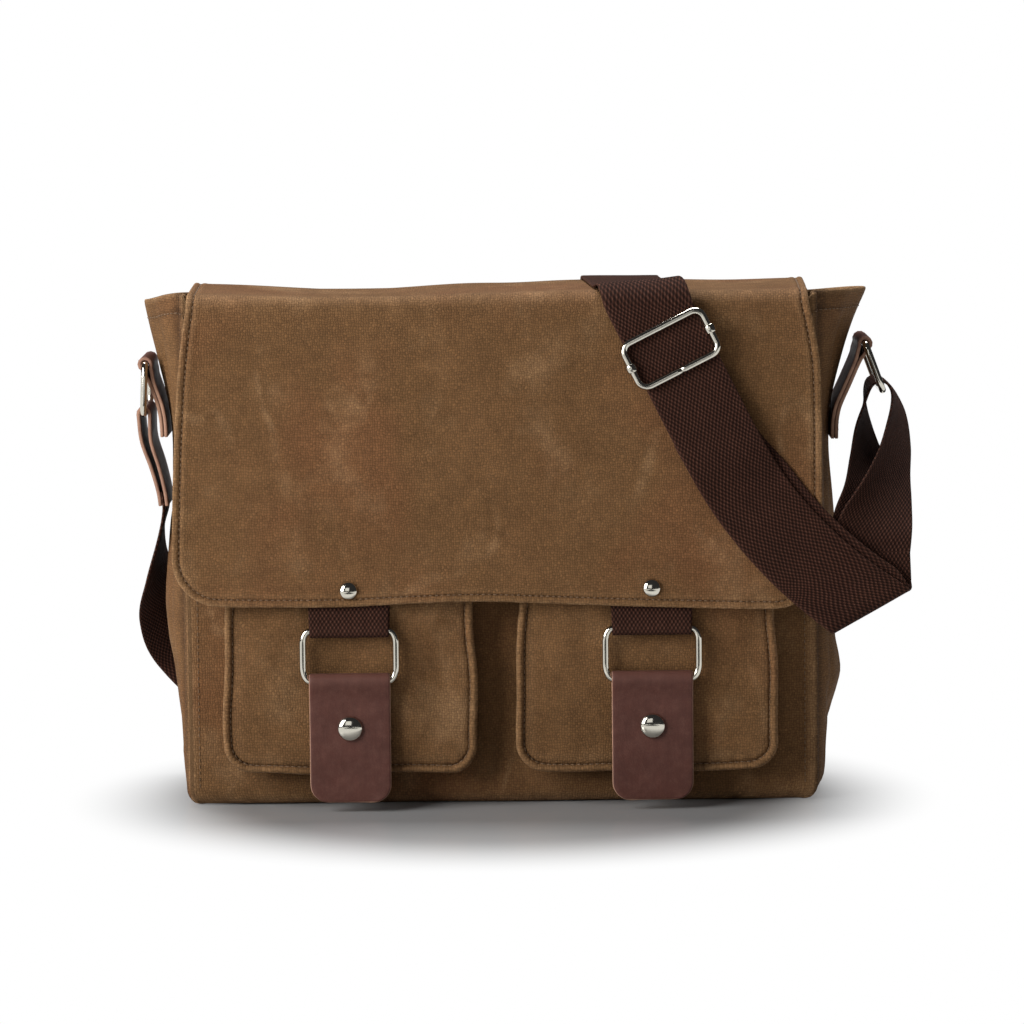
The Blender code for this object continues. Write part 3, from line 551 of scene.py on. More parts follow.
def canvas(name, base, red, pale, dark, pitch=1.28, sheen=0.0, wear_gain=1.0):
    """Waxed cotton canvas: a plain weave with slubs, waxy blotches and rubbed
    edges, and a dark needle line where a hem is sewn down."""
    k = Mat(name)
    u, v, uv = k.uv()
    wob = k.noise(uv, 0.22, 3.0)
    wob2 = k.noise(k.vec(v, u, 7.0), 0.22, 3.0)
    u2 = k.add(u, k.mul(k.math("SUBTRACT", wob, 0.5), 3.4))
    v2 = k.add(v, k.mul(k.math("SUBTRACT", wob2, 0.5), 3.4))
    un, vn = k.math("DIVIDE", u2, pitch), k.math("DIVIDE", v2, pitch)
    su = k.math("SINE", k.mul(un, PI))
    sv = k.math("SINE", k.mul(vn, PI))
    s = k.mul(su, sv)
    h = k.math("POWER", k.math("ABSOLUTE", s), 0.55)
    over = k.math("GREATER_THAN", s, 0.0)
    wi, vi = k.math("FLOOR", un), k.math("FLOOR", vn)
    warp = k.noise(k.vec(k.mul(wi, 3.71), k.mul(v, 0.12)), 1.0, 1.0)
    weft = k.noise(k.vec(k.mul(u, 0.12), k.mul(vi, 5.13), 3.0), 1.0, 1.0)
    cell = k.node("ShaderNodeTexWhiteNoise", noise_dimensions="3D")
    k.put(cell.inputs["Vector"], k.vec(wi, vi, 4.0))
    each = cell.outputs["Value"]
    thread = k.add(k.mul(over, warp), k.mul(k.math("SUBTRACT", 1.0, over), weft))
    shade = k.mul(k.ramp(h, 0.0, 0.85, 0.68, 1.1), k.ramp(thread, 0.2, 0.8, 0.9, 1.09, "LINEAR"))
    shade = k.mul(shade, k.ramp(each, 0.0, 1.0, 0.87, 1.13, "LINEAR"))
    shade = k.mul(shade, k.ramp(over, 0.0, 1.0, 0.93, 1.05, "LINEAR"))
    big = k.noise(uv, 0.02, 4.0, 0.6)
    mid = k.noise(k.vec(u, v, 11.0), 0.1, 4.0, 0.6)
    shade = k.mul(shade, k.ramp(big, 0.3, 0.7, 0.88, 1.10, "LINEAR"))
    shade = k.mul(shade, k.ramp(mid, 0.25, 0.75, 0.88, 1.10, "LINEAR"))
    col = k.mix(k.ramp(k.noise(k.vec(u, v, 23.0), 0.014, 2.0), 0.46, 0.72, 0.0, 0.55), base, red)
    scuff = k.noise(k.vec(k.mul(u, 0.4), k.mul(v, 0.2), 2.0), 1.0, 3.0, 0.7)
    col = k.mix(k.ramp(scuff, 0.58, 0.82, 0.0, 0.22), col, pale)
    speck = k.noise(k.vec(u, v, 41.0), 0.6, 2.0, 0.65)
    col = k.mix(k.ramp(speck, 0.55, 0.75, 0.0, 0.22), col, dark)
    smear = k.noise(k.vec(k.mul(u, 0.024), k.mul(v, 0.018), 9.0), 1.0, 5.0, 0.62)
    col = k.mix(k.ramp(smear, 0.52, 0.74, 0.0, 0.34), col, pale)
    # thin pale lines where the wax has cracked along old folds
    crack = k.noise(k.vec(k.mul(u, 0.013), k.mul(v, 0.006), 31.0), 1.0, 2.0, 0.4)
    crack = k.ramp(k.math("ABSOLUTE", k.math("SUBTRACT", crack, 0.5)), 0.0, 0.022, 1.0, 0.0)
    some = k.ramp(k.noise(k.vec(u, v, 53.0), 0.016, 2.0), 0.46, 0.62)
    col = k.mix(k.mul(k.mul(crack, some), k.ramp(mid, 0.32, 0.66, 0.0, 0.3)), col, pale)
    wear = k.mul(k.attr("wear"), k.ramp(mid, 0.3, 0.7, 0.45, 1.1, "LINEAR"))
    col = k.mix(k.math("MULTIPLY", wear, 0.75 * wear_gain, clamp=True), col, pale)
    # painted shade in grooves, valleys and recesses, together with dark seam lines, both read from one attribute
    seam_and_painted_shade = k.attr("seam_and_painted_shade")
    col = k.mix(k.math("MULTIPLY", seam_and_painted_shade, 0.85, clamp=True), col, dark)
    # the sewn hem: a worn fold outside, a sunk dark needle line 3.6 mm in
    dist = k.attr("dist")
    off = k.math("ABSOLUTE", k.math("SUBTRACT", dist, 3.6))
    needle = k.math("SUBTRACT", 1.0, k.ramp(off, 0.25, 1.0))
    fold_line = k.math("SUBTRACT", 1.0, k.ramp(dist, 0.3, 1.7))
    rub = k.ramp(k.noise(k.vec(u, v, 77.0), 0.22, 3.0, 0.6), 0.35, 0.65, 0.25, 1.0)
    col = k.mix(k.mul(k.mul(fold_line, rub), 0.5), col, pale)
    col = k.mix(k.mul(needle, 0.62), col, dark)
    col = k.scaled(col, shade)
    fuzz = k.noise(k.vec(u, v, 3.0), 1.7, 2.0, 0.6)
    height = k.add(h, k.add(k.mul(fuzz, 0.35), k.mul(each, 0.25)))
    nrm = k.bump(height, 0.2, 0.85)
    nrm = k.bump(k.noise(k.vec(u, v, 60.0), 0.2, 3.0, 0.55), 0.6, 0.35, nrm)
    rough = k.ramp(big, 0.3, 0.7, 0.9, 0.76, "LINEAR")
    return k.surface(col, rough, nrm, sheen=sheen, spec=0.16)


def webbing(name, base, high, dark):
    """Heavy cotton webbing: staggered floats with painted highlights on their tops and painted shade between them,
    close ribs and firm edges.
    """
    k = Mat(name)
    u, v, uv = k.uv()
    wob = k.mul(k.math("SUBTRACT", k.noise(uv, 0.12, 2.0), 0.5), 0.9)
    u2, v2 = k.add(u, wob), k.add(v, wob)
    cu = k.math("COSINE", k.mul(u2, 2 * PI / 2.0))
    cv = k.math("COSINE", k.mul(v2, 2 * PI / 3.1))
    f = k.mul(cu, cv)
    h = k.ramp(f, -0.7, 0.95)
    fine = k.math("SINE", k.mul(u2, 2 * PI / 0.52))
    tone = k.noise(k.vec(k.mul(u, 0.9), k.mul(v, 0.05)), 1.0, 2.0)
    big = k.noise(uv, 0.05, 3.0, 0.6)
    # painted shade between the floats and painted highlights on their tops, keyed to the same weave height as the
    # bump
    col = k.mix(h, dark, base)
    float_highlights = k.mul(k.ramp(f, 0.55, 0.98), k.ramp(k.noise(k.vec(u, v, 9.0), 0.35, 2.0), 0.35, 0.65, 0.25, 1.0))
    col = k.mix(k.mul(float_highlights, 0.75), col, high)
    shade = k.mul(k.ramp(tone, 0.2, 0.8, 0.8, 1.18, "LINEAR"), k.ramp(big, 0.3, 0.7, 0.86, 1.14, "LINEAR"))
    wear = k.attr("wear")
    col = k.mix(k.mul(wear, 0.3), col, high)
    col = k.scaled(col, shade)
    height = k.add(h, k.add(k.mul(fine, 0.06), k.mul(k.noise(uv, 2.0, 2.0), 0.25)))
    nrm = k.bump(height, 0.34, 0.85)
    return k.surface(col, 0.86, nrm, spec=0.09)


def leather(name, base, high, raw):
    """Oiled leather: fine grain, burnished, with pale raw cut edges."""
    k = Mat(name)
    u, v, uv = k.uv()
    cell = k.voronoi(k.vec(u, v, 1.0), 1.15)
    cell2 = k.voronoi(k.vec(u, v, 5.0), 2.6)
    big = k.noise(uv, 0.05, 4.0, 0.6)
    mid = k.noise(k.vec(u, v, 8.0), 0.22, 4.0, 0.6)
    fibre = k.noise(k.vec(k.mul(u, 0.9), k.mul(v, 0.08), 4.0), 1.0, 3.0, 0.6)
    col = k.mix(k.ramp(mid, 0.35, 0.8, 0.0, 0.3), base, high)
    shade = k.mul(k.ramp(big, 0.3, 0.7, 0.88, 1.14, "LINEAR"), k.ramp(cell, 0.0, 0.6, 1.06, 0.9))
    shade = k.mul(shade, k.ramp(fibre, 0.3, 0.7, 0.93, 1.07, "LINEAR"))
    col = k.scaled(col, shade)
    edge = k.math("POWER", k.attr("rim"), 0.6)
    col = k.mix(k.mul(edge, k.ramp(mid, 0.3, 0.7, 0.7, 1.0)), col, raw)
    bend = k.attr("wear")
    col = k.mix(k.mul(bend, 0.5), col, high)
    height = k.add(k.mul(cell, -0.6), k.add(k.mul(cell2, -0.3), k.mul(mid, 0.5)))
    nrm = k.bump(height, 0.14, 0.6)
    rough = k.add(k.ramp(mid, 0.3, 0.7, 0.36, 0.5, "LINEAR"), k.mul(edge, 0.35))
    return k.surface(col, k.add(rough, 0.08), nrm, spec=0.22)


def metal(name, base, rough):
    """Polished nickel plate with hairline scratches and faint waviness."""
    k = Mat(name)
    n = k.node("ShaderNodeTexCoord")
    obj = n.outputs["Object"]
    fine = k.noise(obj, 900.0, 3.0, 0.6)
    wide = k.noise(obj, 160.0, 2.0, 0.5)
    m = k.node("ShaderNodeMapping")
    k.put(m.inputs["Vector"], obj)
    m.inputs["Scale"].default_value = (4000.0, 300.0, 900.0)
    m.inputs["Rotation"].default_value = (0.4, 0.2, 0.7)
    scratch = k.noise(m.outputs[0], 1.0, 2.0, 0.7)
    col = k.mix(k.ramp(wide, 0.35, 0.7, 0.0, 0.35), base, tuple(c * 0.82 for c in base))
    r = k.add(k.ramp(fine, 0.3, 0.7, rough, rough + 0.07, "LINEAR"),
              k.ramp(scratch, 0.66, 0.8, 0.0, 0.16))
    nrm = k.bump(wide, 0.05, 0.25)
    return k.surface(col, r, nrm, metal=1.0)


def thread(name, base):
    k = Mat(name)
    u, v, uv = k.uv()
    twist = k.math("SINE", k.add(k.mul(v, 9.0), k.mul(u, 1.0)))
    tone = k.noise(k.vec(u, k.mul(v, 0.3), 2.0), 1.0, 2.0)
    # painted shade in the grooves of the twist, keyed to the same twist as the bump
    col = k.scaled(base, k.mul(k.ramp(twist, -1.0, 1.0, 0.72, 1.1), k.ramp(tone, 0.3, 0.7, 0.8, 1.2)))
    return k.surface(col, 0.7, k.bump(twist, 0.12, 0.6), sheen=0.1, spec=0.4)


def board(name):
    k = Mat(name)
    obj = k.node("ShaderNodeTexCoord").outputs["Object"]
    fibre = k.noise(obj, 700.0, 4.0, 0.65)
    col = k.mix(k.ramp(fibre, 0.3, 0.7), (0.045, 0.035, 0.026), (0.085, 0.066, 0.048))
    return k.surface(col, 0.85, k.bump(fibre, 0.2, 0.5))


CANVAS = canvas("canvas_waxed", (0.139, 0.0690, 0.0265), (0.150, 0.062, 0.0245),
                (0.31, 0.185, 0.092), (0.038, 0.017, 0.0065))
COTTON = canvas("cotton_lining", (0.13, 0.09, 0.05), (0.135, 0.085, 0.045),
                (0.22, 0.165, 0.10), (0.06, 0.038, 0.02), pitch=0.8)
WEB = webbing("cotton_webbing", (0.059, 0.0228, 0.0142), (0.103, 0.049, 0.034), (0.011, 0.0044, 0.0028))
LEATHER = leather("oiled_leather", (0.080, 0.028, 0.020), (0.145, 0.066, 0.050), (0.42, 0.245, 0.165))
NICKEL = metal("nickel_plate", (0.62, 0.59, 0.51), 0.06)
THREAD = thread("topstitch_thread", (0.165, 0.092, 0.042))
THREAD_DARK = thread("bartack_thread", (0.030, 0.014, 0.010))
BOARD = board("base_board_card")


# --------------------------------------------------------- flap coordinates
S_TOP = BACK_R * PI / 2
S_FRONT_BEND = S_TOP + (HINGE_Y - BACK_R - FRONT_BEND_Y)
BEND = PI / 2 - FRONT_TILT
S_FRONT = S_FRONT_BEND + FRONT_R * BEND
FLAP_N = np.array((0.0, -math.cos(FRONT_TILT), math.sin(FRONT_TILT)))


def on_flap(x, s, w):
    """The point s down the flap from its hinge line and w above its outer face."""
    x, s, w = np.broadcast_arrays(np.asarray(x, float), np.asarray(s, float),
                                  np.asarray(w, float))
    a = np.clip(s, 0, S_TOP) / BACK_R
    b = np.clip((s - S_FRONT_BEND) / FRONT_R, 0, BEND)
    rest = np.maximum(s - S_FRONT, 0)
    y = np.where(s < 0, HINGE_Y + w,
                 np.where(s < S_TOP, HINGE_Y - BACK_R + (BACK_R + w) * np.cos(a),
                          np.where(s < S_FRONT_BEND, HINGE_Y - BACK_R - (s - S_TOP),
                                   FRONT_BEND_Y - (FRONT_R + w) * np.sin(b)
                                   - rest * math.sin(FRONT_TILT))))
    z = np.where(s < 0, HINGE_Z + s,
                 np.where(s < S_TOP, HINGE_Z + (BACK_R + w) * np.sin(a),
                          np.where(s < S_FRONT_BEND, TOP_Z + w,
                                   TOP_Z - FRONT_R + (FRONT_R + w) * np.cos(b)
                                   - rest * math.cos(FRONT_TILT))))
    return np.stack([x, y, z], -1)


LEFT_EDGE = ((-20, 158.0), (0, 157.5), (60, 156.0), (100, 155.0), (113, 155.3), (125, 157.0),
             (150, 159.6), (190, 161.8), (225, 162.8), (270, 163.4))
RIGHT_EDGE = ((-20, 158.0), (0, 157.5), (60, 155.5), (100, 154.0), (113, 154.5), (125, 157.0),
              (145, 159.8), (190, 160.2), (225, 159.6), (270, 158.6))
LOWER_EDGE = ((-170, -1.6), (-142, -1.2), (-110, -0.6), (-77, -0.6), (-45, -1.9), (-10, -2.6),
              (25, -1.3), (50, -0.2), (80, 0.9), (115, 2.0), (145, 2.6), (170, 2.6))


def flap_sag(x, s):
    """How far the flap's outer face stands from its plane."""
    top = smooth((s + 2) / 9) * (1 - smooth((s - 92) / 22))
    w = -4.0 * bump(x + 74, 52) * top
    w = w - 0.9 * bump(x - 8, 20) * top
    w = w - 0.8 * bump(x - 118, 26) * top
    front = smooth((s - 112) / 20)
    low = 1 - smooth((s - 214) / 26)
    off_strap = smooth((24 - x + (s - 113) * 0.25) / 30)
    right = smooth((x - 60 - (s - 113) * 0.45) / 30)
    soft = folds(x, s, 70, 3, along_b=2.3) * 0.75 + folds(x, s, 34, 5, along_b=1.9) * 0.22
    w = w + front * (0.15 + 0.85 * low) * (0.18 + 0.82 * off_strap) * soft
    w = w + front * low * 0.9 * bump(x + 118, 30) * off_strap
    # a soft roll at the front bend
    w = w - 0.5 * bump(s - S_FRONT_BEND - 6, 10) * (0.5 + 0.5 * folds(x, 0 * s, 40, 8)) * off_strap
    return w


def flap_grid(step, start, inset=0.0):
    """x, s and the distance to the nearest free edge, over the flap's outline."""
    end = FLAP_LEN - inset
    ss = hem_lines(end - start, step, first=False) + start
    r = FLAP_CORNER
    extra = end - r + r * np.sin(np.linspace(0, PI / 2, 13)[1:-1])
    ss = np.unique(np.round(np.r_[ss, extra], 3))
    keep = np.r_[True, np.diff(ss) > 0.3]
    ss = ss[keep]
    ss[-1] = end
    vv = hem_lines(2 * HALF_W, step) / (2 * HALF_W)
    S, V = np.meshgrid(ss, vv, indexing="ij")
    d = np.clip((S - (end - r)) / r, 0, 1)
    cut = r - r * np.sqrt(np.maximum(1 - d * d, 0))
    left = curve(LEFT_EDGE, S) - inset - cut
    right = curve(RIGHT_EDGE, S) - inset - cut
    X = -left + (left + right) * V
    drop = curve(LOWER_EDGE, X) * smooth((S - 150) / 110)
    S2 = S + drop
    edge = np.minimum(X + curve(LEFT_EDGE, S) - inset, curve(RIGHT_EDGE, S) - inset - X)
    low = end - S
    # the rounded corners
    cx = np.where(X < 0, -(curve(LEFT_EDGE, S) - inset - r), curve(RIGHT_EDGE, S) - inset - r)
    in_corner = (np.abs(X) > np.abs(cx)) & (S > end - r)
    round_d = r - np.hypot(X - cx, S - (end - r))
    dist = np.where(in_corner, round_d, np.minimum(edge, low))
    return X, S2, np.maximum(dist, 0), S


def hem(dist, run, seed):
    """Height and wear of a folded, topstitched edge: a full edge, a stitch
    groove 4 mm in, and small puckers along it."""
    h = 0.65 * bump(dist - 1.6, 1.3) - 0.75 * bump(dist - 3.6, 0.7) + 0.45 * bump(dist - 5.6, 1.3)
    pucker = np.sin(run * 2 * PI / 6.1 + 2.2 * np.sin(run / 17.0 + seed)) * \
        (0.5 + 0.5 * np.sin(run / 23.0 + 2 * seed))
    h = h + 0.32 * pucker * bump(dist - 3.2, 2.8)
    wear = 0.3 * bump(dist - 1.6, 1.2) * (0.6 + 0.4 * pucker) + 0.18 * bump(dist - 5.4, 0.9)
    # darker along the stitch groove: a seam line, with painted shade in the groove
    seam_and_painted_shade = 0.2 * bump(dist - 3.6, 0.6)
    return h, wear, seam_and_painted_shade


SEAT = {}


def flap_piece():
    X, S, dist, S0 = flap_grid(1.9, -9.0)
    run = np.where(dist < np.minimum(FLAP_LEN - S0, 1e9) - 1e-6, S, X)
    h, wear, seam_and_painted_shade = hem(dist, run, 1.3)
    fade = smooth((S0 + 4) / 8)
    w = flap_sag(X, S) - OUTER_T / 2 + h * 0.8 * fade
    w = w + 0.9 * (1 - smooth((S0 + 3) / 9))
    P = on_flap(X, S, w)
    wear = wear * fade + 0.28 * bump(S - S_FRONT_BEND - 5, 8) + 0.12 * bump(S - 4, 7)
    uv = np.stack([X, S], -1)
    far = np.where(S0 < 4, 60.0, dist)
    obj = sheet("flap_cover", P, uv, OUTER_T, CANVAS,
                attrs={"wear": wear, "seam_and_painted_shade": seam_and_painted_shade, "dist": far})
    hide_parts("flap_outer")
    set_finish(obj, "waxed_canvas")
    # the inner face
    X, S, dist, S0 = flap_grid(3.2, -1.4, inset=0.6)
    w = flap_sag(X, S) - (OUTER_T + GAP + LINING_T / 2) + 0.25 * bump(dist - 4, 1.5)
    P = on_flap(X, S, w)
    inner = sheet("flap_facing", P, np.stack([X, S], -1), LINING_T, COTTON,
                  attrs={"wear": 0.4 * bump(dist, 1.5), "seam_and_painted_shade": 0.3 * bump(dist - 4.2, 0.7)})
    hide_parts("flap_lining")
    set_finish(inner, "lining_cotton")
    # the topstitching, all round the free edges
    r = FLAP_CORNER - 3.6
    pts = []
    for s in np.arange(8, FLAP_LEN - FLAP_CORNER, 2.0):
        pts.append((-(curve(LEFT_EDGE, s) - 3.6), s))
    xl = -(curve(LEFT_EDGE, FLAP_LEN - 12) - FLAP_CORNER)
    xr = curve(RIGHT_EDGE, FLAP_LEN - 12) - FLAP_CORNER
    for a in np.linspace(PI, PI / 2, 14):
        pts.append((xl + r * math.cos(a), FLAP_LEN - FLAP_CORNER + r * math.sin(a)))
    for x in np.arange(xl + 2, xr, 2.0):
        pts.append((x, FLAP_LEN - 3.6))
    for a in np.linspace(PI / 2, 0, 14):
        pts.append((xr + r * math.cos(a), FLAP_LEN - FLAP_CORNER + r * math.sin(a)))
    for s in np.arange(FLAP_LEN - FLAP_CORNER, 8, -2.0):
        pts.append((curve(RIGHT_EDGE, s) - 3.6, s))
    pts = np.array(pts, float)
    X, S = pts[:, 0], pts[:, 1]
    S = S + curve(LOWER_EDGE, X) * smooth((S - 150) / 110)
    w = flap_sag(X, S) - 0.5
    path = on_flap(X, S, w)
    above = on_flap(X, S, w + 1.0)
    row = face_out(build("flap_topstitch", *stitches(path, above - path, 2.9, 2.05, 0.4, 0.0)[:3],
                         {}, THREAD))
    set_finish(row, "waxed_canvas")
    for piece in (obj, inner, row):
        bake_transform(piece)


# --------------------------------------------------------------- body shell
GUSSET_LEFT = ((0, 158.5), (8, 160.5), (21, 162.0), (32, 161.5), (53, 164.0), (68, 166.0),
               (83, 169.3), (100, 170.5), (120, 169.0), (150, 166), (180, 165.2), (200, 167),
               (222, 172.0), (240, 176.5), (256, 180.0))
GUSSET_RIGHT = ((0, 160.5), (10, 164.0), (29, 165.4), (41, 167.0), (52, 169.8), (60, 171.4),
                (68, 170.6), (78, 168.9), (92, 169.4), (120, 170.0), (150, 168.3), (180, 166.6),
                (200, 168.1), (222, 173.5), (240, 179.5), (256, 186.5))
G_DEPTH = 45.6


def shell_loop(inset=0.0, step=3.0):
    """Columns round the body, anticlockwise from above, from the front left corner: x and y of the plan outline, a
    gusset weight, and the part it lies on (0 front, 1 corner, 2 right, 3 back, 4 left)."""
    cols = []
    fx = np.linspace(-155.2, 155.2, int(310 / step))
    gy = np.linspace(-43.6, 43.6, int(88 / step) + 5)
    corner = [(156.8, -48.9), (157.9, -48.1), (158.1, -47.0), (157.3, -45.8), (156.3, -44.6)]
    for x in fx:
        cols.append((x, -49.0, 0.0, 0))
    for x, y in corner:
        cols.append((x, y, 0.0, 1))
    for y in gy:
        cols.append((156.6 + 1.4 * min((43.6 - abs(y)) / 4, 1), y, 1.0, 2))
    for x, y in corner[::-1]:
        cols.append((x, -y, 0.0, 1))
    for x in fx[::-1]:
        cols.append((x, 49.0, 0.0, 3))
    for x, y in corner:
        cols.append((-x, -y, 0.0, 1))
    for y in gy[::-1]:
        cols.append((-156.6 - 1.4 * min((43.6 - abs(y)) / 4, 1), y, 1.0, 4))
    for x, y in corner[::-1]:
        cols.append((-x, y, 0.0, 1))
    return np.array(cols)


def shell_points(cols, zz, inset, top=True):
    """P (rows, columns, 3) of the body at heights given per row as 0..1 with a
    rounded foot; inset moves it inwards."""
    n, m = len(zz), len(cols)
    X0, Y0, G, kind = cols[:, 0], cols[:, 1], cols[:, 2], cols[:, 3]
    front, back = kind == 0, kind == 3
    right, left = kind == 2, kind == 4
    z_top = np.where(front, PANEL_H, np.where(back, BACK_H, 254.0))
    z_top = np.where(kind == 1, np.where(Y0 < 0, np.where(X0 < 0, 257.6, 256.0), 250.6), z_top)
    z_top = z_top + np.where(front, 2.0 * smooth((np.abs(X0) - 147) / 9), 0.0)
    gy = np.clip(np.abs(Y0) / 46.6, 0, 1)
    tilt = Y0 / 46.6
    z_top = np.where(right, 253.6 - 2.4 * tilt + 2.0 * np.cos(gy * PI / 2) ** 1.2
                     * (1 + 0.7 * np.clip(tilt, 0, 1)), z_top)
    z_top = np.where(left, 253.2 - 3.2 * tilt - 0.6 * np.cos(gy * PI / 2) ** 1.2
                     + 1.8 * smooth((-Y0 - 16) / 26) + 3.2 * smooth((Y0 - 4) / 36), z_top)
    z_top = np.where(right, z_top + 0.6 * smooth((-Y0 - 20) / 24), z_top)
    foot = 8.0
    rows = []
    for q in zz:
        if q < 0:                                    # the rounded foot, q -1..0
            a = (q + 1) * PI / 2
            ins = foot * (1 - math.sin(a))
            z = np.full(m, 0.9 + foot * (1 - math.cos(a)))
        else:
            ins = 0.0
            z = 0.9 + foot + (z_top - 0.9 - foot) * q
        ins = ins + inset
        X, Y = X0.copy(), Y0.copy()
        prof = np.cos(PI / 2 * np.clip(Y0 / 44.4, -1, 1)) ** 0.9
        gr = curve(GUSSET_RIGHT, z) - HALF_W
        gl = curve(GUSSET_LEFT, z) - HALF_W
        lobe = bump(np.abs(Y0) - 31, 8) * smooth((150 - z) / 60) * smooth((z - 4) / 30)
        crease_r = bump((z - 44) * 0.8 + (Y0 + 20) * 0.6, 4.2) * bump(z - 42, 20)
        crease_l = bump((z - 150) * 0.7 - (Y0 + 10) * 0.6, 6.0) * bump(z - 148, 30)
        wav = folds(Y0, z, 46, 21, along_b=1.5)
        rise = smooth(z / 30) * (1 - 0.6 * smooth((z - 235) / 16))
        X0 = cols[:, 0] - np.sign(cols[:, 0]) * (right | left) * rise * (
            2.3 * bump(Y0 + 27 - 0.03 * (z - 120), 3.6) + 1.7 * bump(Y0 + 12 + 0.04 * (z - 120), 3.2)
            + 1.5 * bump(Y0 - 20, 4.5))
        X = np.where(right, X0 + prof * gr + 2.4 * lobe - 2.6 * crease_r * prof
                     + 0.9 * wav * prof * smooth(z / 30) * (1 - 0.7 * smooth((z - 165) / 25)), X)
        wav = folds(Y0, z, 44, 33, along_b=1.6)
        X = np.where(left, X0 - prof * gl - 1.8 * lobe + 2.0 * crease_l * prof
                     - 0.8 * wav * prof * smooth(z / 30) * (1 - 0.7 * smooth((z - 165) / 25)), X)
        edge = smooth((155 - np.abs(X0)) / 22)
        fw = folds(X0, z, 58, 44, along_b=1.4) * 0.55 * edge
        Y = np.where(front, Y0 + fw - 0.6 * edge * bump(z - 14, 16), Y)
        bw = folds(X0, z, 75, 45, along_b=1.6) * 1.0 * edge
        crown = 1.6 * edge * np.sin(PI * np.clip(z / 250, 0, 1))
        Y = np.where(back, Y0 + np.minimum(bw * smooth((240 - z) / 30), 0.9)
                     + crown * smooth((238 - z) / 40), Y)
        # move the points inwards by ins: the inset plus the rounding in of the foot
        if ins:
            cx = np.where(front | back, 0.0, np.sign(X0))
            cy = np.where(front, 1.0, np.where(back, -1.0, 0.0))
            cx = np.where(kind == 1, np.sign(X0) * 0.8, cx)
            cy = np.where(kind == 1, -np.sign(Y0) * 0.7, cy)
            shrink = 1 - ins / 157.0
            X = np.where(front | back, X * shrink, X - cx * ins)
            Y = np.where(right | left, Y * (1 - ins / 48.0), Y + cy * ins)
        rows.append(np.stack([X, Y, z], -1))
    return np.array(rows)


